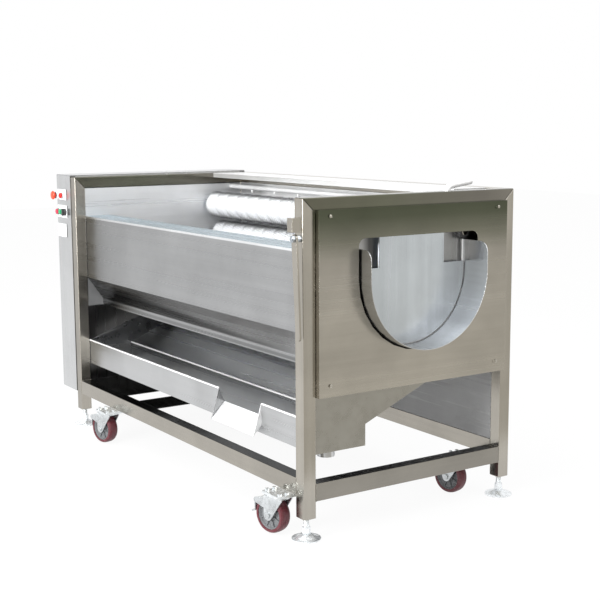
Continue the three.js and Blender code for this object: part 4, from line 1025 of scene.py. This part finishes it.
def levelling_foot(node):
    """A levelling foot: a dished pad, a lock nut and a threaded stem.

    The pad's height falls on a cosine from its neck to its edge, and the thread's radius swings
    along the stem at the thread's pitch."""
    low, high = box(node)
    centre = ((low[0] + high[0]) / 2, (low[1] + high[1]) / 2, 0.0)
    share = np.linspace(0, 1, 12)
    pad_radius = (high[0] - low[0]) / 2
    slope = PAD_NECK + (pad_radius - PAD_NECK) * share
    rise = PAD_EDGE + (PAD_TOP - PAD_EDGE) * (0.5 + 0.5 * np.cos(math.pi * share ** 0.8))
    pad = [(0, 0), (pad_radius - MM, 0), (pad_radius, MM), *zip(slope[::-1], rise[::-1]), (0, PAD_TOP)]
    turns = np.arange(PAD_TOP - MM, high[2], THREAD_PITCH / 2)
    thread = STEM_RADIUS - 0.6 * MM * (np.arange(len(turns)) % 2)
    stem = [(0, turns[0]), *zip(thread, turns), (0, turns[-1])]
    nut = [
        (0, PAD_TOP), (0.92 * NUT_RADIUS, PAD_TOP), (NUT_RADIUS, PAD_TOP + MM),
        (NUT_RADIUS, NUT_TOP - MM), (0.92 * NUT_RADIUS, NUT_TOP), (0, NUT_TOP),
    ]
    top = NUT_TOP + 4 * MM
    collar = [(0, NUT_TOP), (0.75 * NUT_RADIUS, NUT_TOP), (0.7 * NUT_RADIUS, top), (0, top)]
    form = joined(
        turned("z", centre, pad, 64), turned("z", centre, stem, 24),
        turned("z", centre, nut, 6), turned("z", centre, collar, 32),
    )
    return piece(node + "_finished", form, finishes()["foot"], body_of(node), (node,))


# Controls


def knob(name, node, profile, finish):
    """A control turned about its own axis. Its profile is radius and depth in millimetres, and a
    stem carries it on to the back of its node."""
    low, high = box(node)
    centre = ((low[0] + high[0]) / 2, 0.0, (low[2] + high[2]) / 2)
    places = [(radius, low[1] + depth) for radius, depth in np.array(profile) * MM]
    places += [(CONTROL_STEM, places[-1][1]), (CONTROL_STEM, high[1]), (0, high[1])]
    return piece(name, turned("y", centre, places, 48), finish, body_of(node), (node,))


def bezel(name, node, inner, depth, finish):
    """A ring round a control, its outer edge chamfered, standing on the control plate."""
    low, high = box(node)
    plate = box("drive_cabinet")[0][1] + COLLAR_HEIGHT
    centre = ((low[0] + high[0]) / 2, plate, (low[2] + high[2]) / 2)
    outer = BEZEL_RADIUS
    profile = [
        (inner, 0.5 * MM), (outer, 0.5 * MM), (outer, -depth + MM),
        (outer - MM, -depth), (inner + 0.6 * MM, -depth), (inner, -depth + 0.6 * MM),
    ]
    return piece(name, turned("y", centre, profile, 48), finish, "frame")


# Spray pipe


def bent(points, radius):
    """A path through points with each inner corner turned into a quadratic curve of a radius."""
    points = np.asarray(points, float)
    path = [points[0]]
    t = np.linspace(0, 1, BEND_STEPS)[:, None]
    for before, corner, after in zip(points, points[1:], points[2:]):
        start = corner + (before - corner) * min(0.5, radius / np.linalg.norm(before - corner))
        end = corner + (after - corner) * min(0.5, radius / np.linalg.norm(after - corner))
        path.extend(arc(start, corner, end, t))
    path.append(points[-1])
    return np.array(path)


# Stage


LAMPS = (
    ("key_lamp", (1.6, -3.6, 3.4), 2.6, 95.0),
    ("fill_lamp", (3.6, 1.2, 2.8), 2.4, 42.0),
    ("top_lamp", (-0.8, -1.3, 3.9), 2.6, 80.0),
    ("low_lamp", (0.8, -3.6, 1.3), 1.6, 125.0),
)
LAMPS_AIM = (0, 0, 0.5)
SURROUND_ON_MATT = 0.8
FLOOR_GLOW = 0.93

# Grey card: where it starts and how far it runs on X, Y and Z, and its tones up to a height
FLAG_LOW, FLAG_REACH = (1.25, -3.2, 0.02), (1.6, 6.8, 2.6)
FLAG_ROWS = 24
FLAG_TONES = [(0.0, (0.71, 0.69, 0.64, 1)), (0.5, (0.84, 0.83, 0.8, 1)), (1.0, (1, 1, 1, 1))]
FLAG_TOP_TONE = 2.4


def seen_or_reflected(tree):
    """One where a ray comes straight from the camera, off a gloss or through a clear thing."""
    path = shader_node(tree, "LightPath", {}).outputs
    most = path["Is Camera Ray"]
    for name in ("Is Glossy Ray", "Is Transmission Ray"):
        most = shader_node(tree, "Math", {0: most, 1: path[name]}, operation="MAXIMUM").outputs["Value"]
    return most


def glow_where_seen(tree, matt, glow_share):
    """The matt shader, mixed with plain white glow on seen and reflected rays."""
    glow = shader_node(tree, "Emission", {}).outputs["Emission"]
    inputs = {0: seen_or_reflected(tree), 1: glow_share}
    share = shader_node(tree, "Math", inputs, operation="MULTIPLY").outputs["Value"]
    return shader_node(tree, "MixShader", {"Fac": share, 1: matt, 2: glow}).outputs["Shader"]


def studio_floor(colour):
    """A pale floor with faint mottling, which keeps part of the machine's shadow."""
    finish = Finish("studio_floor", colour, 0.8)
    finish.shade(finish.ramp(finish.noise(FLOOR_MOTTLE), [(0.3, scaled(colour, 0.98)), (0.7, colour)]))
    shader = glow_where_seen(finish.tree, finish.surface.outputs["BSDF"], FLOOR_GLOW)
    finish.wire(shader, finish.tree.nodes["Material Output"].inputs["Surface"])
    return finish.material


def grey_flag():
    """A grey card beside the discharge end that only gloss sees.

    Its profile rises from the floor as a quarter wave and is carried straight along Y."""
    share = np.linspace(0, 1, FLAG_ROWS)
    x = FLAG_LOW[0] + FLAG_REACH[0] * share
    y = np.array([FLAG_LOW[1], FLAG_LOW[1] + FLAG_REACH[1]])
    z = FLAG_LOW[2] + FLAG_REACH[2] * (1 - np.cos(share * math.pi / 2))
    grid = np.stack([np.repeat(x, 2), np.tile(y, FLAG_ROWS), np.repeat(z, 2)], axis=1)
    mesh = bpy.data.meshes.new("grey_flag")
    mesh.from_pydata(grid.tolist(), [], grid_faces(FLAG_ROWS, 2))
    finish = Finish("grey_flag", grey(0.5), 1.0)
    tone = finish.ramp(finish.along("Z", 0.0, FLAG_TOP_TONE), FLAG_TONES)
    glow = finish.node("Emission", {"Color": tone}).outputs["Emission"]
    finish.wire(glow, finish.tree.nodes["Material Output"].inputs["Surface"])
    mesh.materials.append(finish.material)
    flag = bpy.data.objects.new("grey_flag", mesh)
    bpy.context.scene.collection.objects.link(flag)
    flag.visible_camera = flag.visible_diffuse = flag.visible_shadow = False
    return flag


def white_surround(scene):
    """White where it is seen or reflected, and weaker on matt surfaces."""
    world = bpy.data.worlds.new("studio_surround")
    world.use_nodes = True
    tree = world.node_tree
    sky = tree.nodes["Background"]
    sky.inputs["Color"].default_value = grey(1.0)
    inputs = {"To Min": SURROUND_ON_MATT, "Value": seen_or_reflected(tree)}
    strength = shader_node(tree, "MapRange", inputs).outputs["Result"]
    tree.links.new(strength, sky.inputs["Strength"])
    scene.world = world


def stand_camera(scene):
    """The camera's axes come from its yaw and pitch, and then its roll about the line of sight."""
    yaw, pitch, roll = CAMERA_YAW, CAMERA_PITCH, CAMERA_ROLL
    flat = math.cos(pitch)
    ahead = Vector((-math.sin(yaw) * flat, math.cos(yaw) * flat, -math.sin(pitch)))
    level = Vector((math.cos(yaw), math.sin(yaw), 0.0))
    above = level.cross(ahead)
    right = math.cos(roll) * level + math.sin(roll) * above
    above = math.cos(roll) * above - math.sin(roll) * level
    lens = bpy.data.cameras.new("photo_camera")
    lens.lens, lens.sensor_width, lens.sensor_fit = CAMERA_LENS, SENSOR_WIDTH, "HORIZONTAL"
    camera = bpy.data.objects.new("photo_camera", lens)
    turn = Matrix((right, above, -ahead)).transposed().to_4x4()
    camera.matrix_world = Matrix.Translation(CAMERA_PLACE) @ turn
    scene.collection.objects.link(camera)
    scene.camera = camera


# Add-on: sizes and colours, one operator for each group of pieces, and the panel


def colour_property(name, description, default):
    """A colour property whose default is given as it looks on a screen, from 0 to 255."""
    return bpy.props.FloatVectorProperty(
        name=name, description=description, default=srgb(*default)[:3],
        subtype="COLOR", size=3, min=0, max=1,
    )


def length_property(name, description, default, low, high):
    """A length in metres, shown in the scene's units."""
    return bpy.props.FloatProperty(
        name=name, description=description, default=default, min=low, max=high,
        subtype="DISTANCE", unit="LENGTH",
    )


def count_property(name, description, default):
    """A small number of strands."""
    return bpy.props.IntProperty(name=name, description=description, default=default, min=1, max=7)


class PeelerSizes(bpy.types.PropertyGroup):
    """Sizes that a user would change."""

    tube_corner: length_property(
        "Tube corner", "Radius of the long corners of the frame tubes", TUBE_CORNER, 0.5 * MM, 6 * MM
    )
    spiral_pitch: length_property(
        "Spiral pitch", "Length of brush taken by one turn of the spiral groove",
        75 * MM, 20 * MM, 300 * MM,
    )
    strands: count_property("Strands", "Strands in each tuft of the brushes that show", 4)
    lower_strands: count_property(
        "Lower strands", "Strands in each tuft of the brushes low in the trough", 1
    )
    floor_size: length_property("Floor", "Side of the floor", 24.0, 4.0, 60.0)


class PeelerColours(bpy.types.PropertyGroup):
    """Colours that a user would change."""

    tube: colour_property("Tube", "Polished stainless tube", (190, 185, 175))
    sheet: colour_property("Sheet", "Fine-ground stainless sheet", (192, 193, 194))
    zinc: colour_property("Zinc", "Zinc-plated castor forks and feet", (230, 234, 236))
    tyre: colour_property("Tyre", "Castor tread", (80, 9, 24))
    hub: colour_property("Hub", "Castor wheel centre", (94, 96, 98))
    motor: colour_property("Motor", "Gear motor paint", (85, 96, 108))
    plate: colour_property("Plate", "Control plates", (226, 228, 230))
    stop: colour_property("Stop", "Emergency stop", (232, 62, 32))
    reset: colour_property("Reset", "Upper push button", (206, 34, 30))
    off: colour_property("Off", "Lower push button", (168, 38, 62))
    on: colour_property("On", "Start button", (24, 140, 92))
    bristle: colour_property("Bristle", "Brush bristles", (247, 249, 251))
    floor: colour_property("Floor", "Studio floor", (250, 250, 250))


class PEELER_OT_frame(bpy.types.Operator):
    """Build the legs, rails and their welds"""

    bl_idname = "peeler.frame"
    bl_label = "Frame"

    def execute(self, context):
        """Round each tube's long corners between the faces of the tube, paint shade on the left front
        leg's front face and dark reflections on the lower rails' tops, and weld the lower rails.
        """
        made = finishes()
        front = box("leg_front_left")
        for side in ("right", "left"):
            low, high = box("leg_front_" + side)
            low[1], high[1] = front[0][1], front[1][1]
            leg = tube_copy("leg_front_" + side, made["leg"], low, high)
            if side == "left":
                # Painted shade on the front face of the left front leg
                repainted(leg, made["leg_shaded"], facing(1, -1))
            tube_copy("leg_back_" + side, made["leg"], *box("leg_back_" + side))
            tube_copy("top_rail_" + side, made["end_rail"], *box("top_rail_" + side))
            low, high = box("bottom_rail_" + side)
            rail = tube_copy("bottom_rail_" + side, made["low_y"], low, high)
            # Painted dark reflection on the top faces of the side rails
            repainted(rail, made["rail_top"], above(high[2]))
        tube_copy("top_rail_back", made["tube_x"], *box("top_rail_back"))
        for face, depth in (("front", front), ("back", box("leg_back_left"))):
            low, high = box("bottom_rail_" + face)
            low[1], high[1] = depth[0][1], depth[1][1]
            low[2] = high[2] - RAIL_HEIGHT
            rail = tube_copy("bottom_rail_" + face, made["low_x"], low, high)
            # Painted dark reflection on the top faces of the front and back rails
            repainted(rail, made["rail_top"], above(high[2]))
            repainted(rail, made["zinc"], beside(low, high))
            for place, end in ((low[0], "left"), (high[0], "right")):
                weld(f"weld_{face}_{end}", "x", low[1:], high[1:], place)
        # The base sheet in a nearly black painted shade
        edged_copy("base_sheet", made["rail_top"])
        for side in ("right", "left"):
            low, high = box("bottom_rail_" + side)
            for place, end in ((low[1], "front"), (high[1], "back")):
                weld(f"weld_{side}_{end}", "y", low[[0, 2]], high[[0, 2]], place)
        return {"FINISHED"}


class PEELER_OT_trough(bpy.types.Operator):
    """Build the panels, walls, duct, tray and spout"""

    bl_idname = "peeler.trough"
    bl_label = "Trough and tray"

    def execute(self, context):
        """Round the edges of each sheet piece, paint shade, highlights and reflections on some of its
        faces, and add hems and screws.
        """
        made = finishes()
        # Faces given painted shade, painted highlights and painted reflections
        painted_shade_faces = {
            "front_wall": (("rim", above(box("front_wall")[1][2])), ("incline", facing(2, -1, UPWARD))),
            "back_cover": (("back", facing(1, -1)),),
            "inner_wall_right": (("neck", facing(0, 1)),),
            "collecting_tray": (("tray_inside", inside_tray(*box("collecting_tray"))),),
        }
        for node, finish, slot in (
            ("end_panel", "panel", "stainless_polished"),
            ("inner_wall_right", "wall", "stainless_polished"),
            ("inner_wall_left", "wall", "stainless_polished"),
            ("front_wall", "front_wall", "stainless_brushed"),
            ("back_cover", "sheet", "stainless_brushed"),
            ("top_guard", "guard", "stainless_polished"),
            ("collecting_tray", "tray", "stainless_polished"),
            ("spout", "spout", "stainless_polished"),
            ("discharge_duct", "duct", "stainless_polished"),
        ):
            copy = edged_copy(node, made[finish])
            for shaded, test in painted_shade_faces.get(node, ()):
                repainted(copy, made[shaded], test)
        tray_hems()
        duct_bead()
        low, high = box("end_panel")
        for row, z in enumerate((low[2] + SCREW_RISE, high[2] - SCREW_DROP)):
            for column, y in enumerate((low[1] + SCREW_INSET, high[1] - SCREW_INSET)):
                screw_head(f"panel_screw_{row}_{column}", (high[0], y, z), made["tube_y"])
        return {"FINISHED"}


class PEELER_OT_brushes(bpy.types.Operator):
    """Build the brush rollers and their shafts"""

    bl_idname = "peeler.brushes"
    bl_label = "Brush rollers"

    def execute(self, context):
        """Give each roller its bristles and shaft about its own axis."""
        sizes = context.scene.peeler_sizes
        for joint in frame["joints"]:
            if not joint["child"].startswith("roller_"):
                continue
            number = int(joint["child"].split("_")[1])
            centre = np.array(joint["pos_m"])[1:]
            shown = number <= SHOWN_BRUSHES
            node = f"brush_{number}" if shown else f"brush_roller_{number}"
            strands = sizes.strands if shown else sizes.lower_strands
            brush(node, centre, joint["child"], SHOWN_GRID if shown else HIDDEN_GRID, strands, number)
            shaft = f"roller_shaft_{number}" if shown else node
            roller_shaft(f"shaft_{number}", shaft, centre, joint["child"], (shaft,))
        return {"FINISHED"}


class PEELER_OT_castors(bpy.types.Operator):
    """Build the castors and levelling feet"""

    bl_idname = "peeler.castors"
    bl_label = "Castors and feet"

    def execute(self, context):
        """Build each wheel about its joint's axis, and finish the forks, pedals and feet."""
        made = finishes()
        joints = {joint["name"]: joint for joint in frame["joints"]}
        for face in ("front", "back"):
            for side in ("right", "left"):
                place = f"{face}_{side}"
                joint = joints[f"wheel_{place}_spin"]
                castor_wheel("castor_wheel_" + place, joint)
                edged_copy("castor_fork_" + place, made["zinc"])
                axle_nut("castor_fork_" + place, joint)
                levelling_foot("foot_" + place)
        for side in ("right", "left"):
            edged_copy("brake_pedal_front_" + side, made["zinc"])
        return {"FINISHED"}


class PEELER_OT_cabinet(bpy.types.Operator):
    """Build the drive cabinet, its controls and the drive inside"""

    bl_idname = "peeler.cabinet"
    bl_label = "Drive cabinet"

    def execute(self, context):
        """Finish the cabinet, paint its control plates, paint shade on its right side, and set the
        controls and their rings.
        """
        made = finishes()
        cabinet = edged_copy("drive_cabinet", made["cabinet"])
        plates = box("drive_cabinet")[0][1] + COLLAR_HEIGHT + MM
        repainted(cabinet, made["plate"], lambda centre, normal: centre[:, 1] < plates)
        # Painted shade on the cabinet's right side
        repainted(cabinet, made["shaded"], facing(0, 1))
        edged_copy("cabinet_lid", made["cabinet"])
        edged_copy("gear_motor", made["motor"])
        edged_copy("drive_chain", made["chain"])
        for side in ("right", "left"):
            edged_copy("bearings_" + side, made["bearing"])
        for node, finish, slot, profile in (
            ("emergency_stop", "stop", "button_red", STOP_PROFILE),
            ("button_reset", "reset", "button_red", PUSH_PROFILE),
            ("button_off", "off", "button_purple", PUSH_PROFILE),
            ("button_on", "on", "button_green", PUSH_PROFILE),
        ):
            knob(node + "_finished", node, profile, made[finish])
            if node == "emergency_stop":
                bezel("stop_collar", node, CONTROL_STEM + MM, COLLAR_HEIGHT, made["plate"])
            else:
                bezel(node + "_ring", node, BUTTON_BORE, BEZEL_HEIGHT, made["zinc"])
        edged_copy("selector", made["selector"])
        return {"FINISHED"}


class PEELER_OT_gate(bpy.types.Operator):
    """Build the discharge gate and its lever"""

    bl_idname = "peeler.gate"
    bl_label = "Discharge gate"

    def execute(self, context):
        """Round the edges of the gate plate and of the lever."""
        made = finishes()
        edged_copy("gate", made["gate"])
        edged_copy("gate_lever", made["leg"])
        return {"FINISHED"}


class PEELER_OT_spray(bpy.types.Operator):
    """Build the spray pipe"""

    bl_idname = "peeler.spray"
    bl_label = "Spray pipe"

    def execute(self, context):
        """Carry the pipe along its bent line, and hang the nozzles under its straight run."""
        low, high = box("spray_pipe")
        run = (high[1] - PIPE_RADIUS, low[2] + NOZZLE_DROP)
        reach, rise = PIPE_INLET_REACH, PIPE_INLET_RISE
        right = high[0] - PIPE_RADIUS
        front = low[1] + PIPE_RADIUS
        line = [
            (low[0], run[0], run[1]), (right, run[0], run[1]), (right, front, run[1]),
            (right, front, run[1] + rise[0]), (right, front + reach, run[1] + rise[1]),
        ]
        forms = [tube_along(bent(line, PIPE_BEND), PIPE_RADIUS, 24)]
        profile = [
            (0, 0), (NOZZLE_RADIUS, 0), (NOZZLE_RADIUS, -NOZZLE_DROP + 3 * MM),
            (2 * MM, -NOZZLE_DROP), (0, -NOZZLE_DROP),
        ]
        for share in (np.arange(NOZZLE_COUNT) + 1) / (NOZZLE_COUNT + 1):
            centre = (low[0] + share * (right - low[0]), run[0], run[1])
            forms.append(turned("z", centre, profile, 20))
        name, finish = "spray_pipe_finished", finishes()["pipe"]
        piece(name, joined(*forms), finish, "frame", ("spray_pipe",))
        return {"FINISHED"}


class PEELER_OT_stage(bpy.types.Operator):
    """Set the floor, lights and camera"""

    bl_idname = "peeler.stage"
    bl_label = "Stage"

    def execute(self, context):
        """Lay the floor, hang the lamps and stand the camera where the photograph was taken."""
        scene = context.scene
        half = scene.peeler_sizes.floor_size / 2
        corners = [(-half, -half, -MM), (half, -half, -MM), (half, half, -MM), (-half, half, -MM)]
        mesh = bpy.data.meshes.new("floor")
        mesh.from_pydata(corners, [], [(0, 1, 2, 3)])
        mesh.materials.append(studio_floor(named_colour("floor")))
        floor = bpy.data.objects.new("floor", mesh)
        scene.collection.objects.link(floor)
        flag = grey_flag()
        for name, place, size, power in LAMPS:
            lamp = bpy.data.lights.new(name, "AREA")
            lamp.shape, lamp.size, lamp.energy = "SQUARE", size, power
            holder = bpy.data.objects.new(name, lamp)
            holder.location = place
            aim = Vector(LAMPS_AIM) - Vector(place)
            holder.rotation_euler = aim.to_track_quat("-Z", "Y").to_euler()
            scene.collection.objects.link(holder)
        white_surround(scene)
        stand_camera(scene)
        scene.view_settings.view_transform = "Standard"
        return {"FINISHED"}


class PEELER_PT_panel(bpy.types.Panel):
    """Panel with the machine's groups of pieces"""

    bl_idname = "PEELER_PT_panel"
    bl_label = "Brush-roller peeler"
    bl_space_type = "VIEW_3D"
    bl_region_type = "UI"
    bl_category = "Peeler"

    def draw(self, context):
        """List the sizes, colours and operators."""
        for group in (context.scene.peeler_sizes, context.scene.peeler_colours):
            for name in group.bl_rna.properties.keys()[2:]:
                self.layout.prop(group, name)
        for operator in OPERATORS:
            self.layout.operator(operator.bl_idname)


OPERATORS = (
    PEELER_OT_frame,
    PEELER_OT_trough,
    PEELER_OT_brushes,
    PEELER_OT_castors,
    PEELER_OT_cabinet,
    PEELER_OT_gate,
    PEELER_OT_spray,
    PEELER_OT_stage,
)
CLASSES = (PeelerSizes, PeelerColours, *OPERATORS, PEELER_PT_panel)


def register():
    """Register the classes and the properties of the scene."""
    for cls in CLASSES:
        bpy.utils.register_class(cls)
    bpy.types.Scene.peeler_sizes = bpy.props.PointerProperty(type=PeelerSizes)
    bpy.types.Scene.peeler_colours = bpy.props.PointerProperty(type=PeelerColours)


def unregister():
    """Remove the properties and the classes."""
    del bpy.types.Scene.peeler_colours
    del bpy.types.Scene.peeler_sizes
    for cls in reversed(CLASSES):
        bpy.utils.unregister_class(cls)


def main():
    """Build every piece and the stage."""
    register()
    for name in ("frame", "trough", "brushes", "castors", "cabinet", "gate", "spray", "stage"):
        getattr(bpy.ops.peeler, name)()


if __name__ == "__main__":
    main()
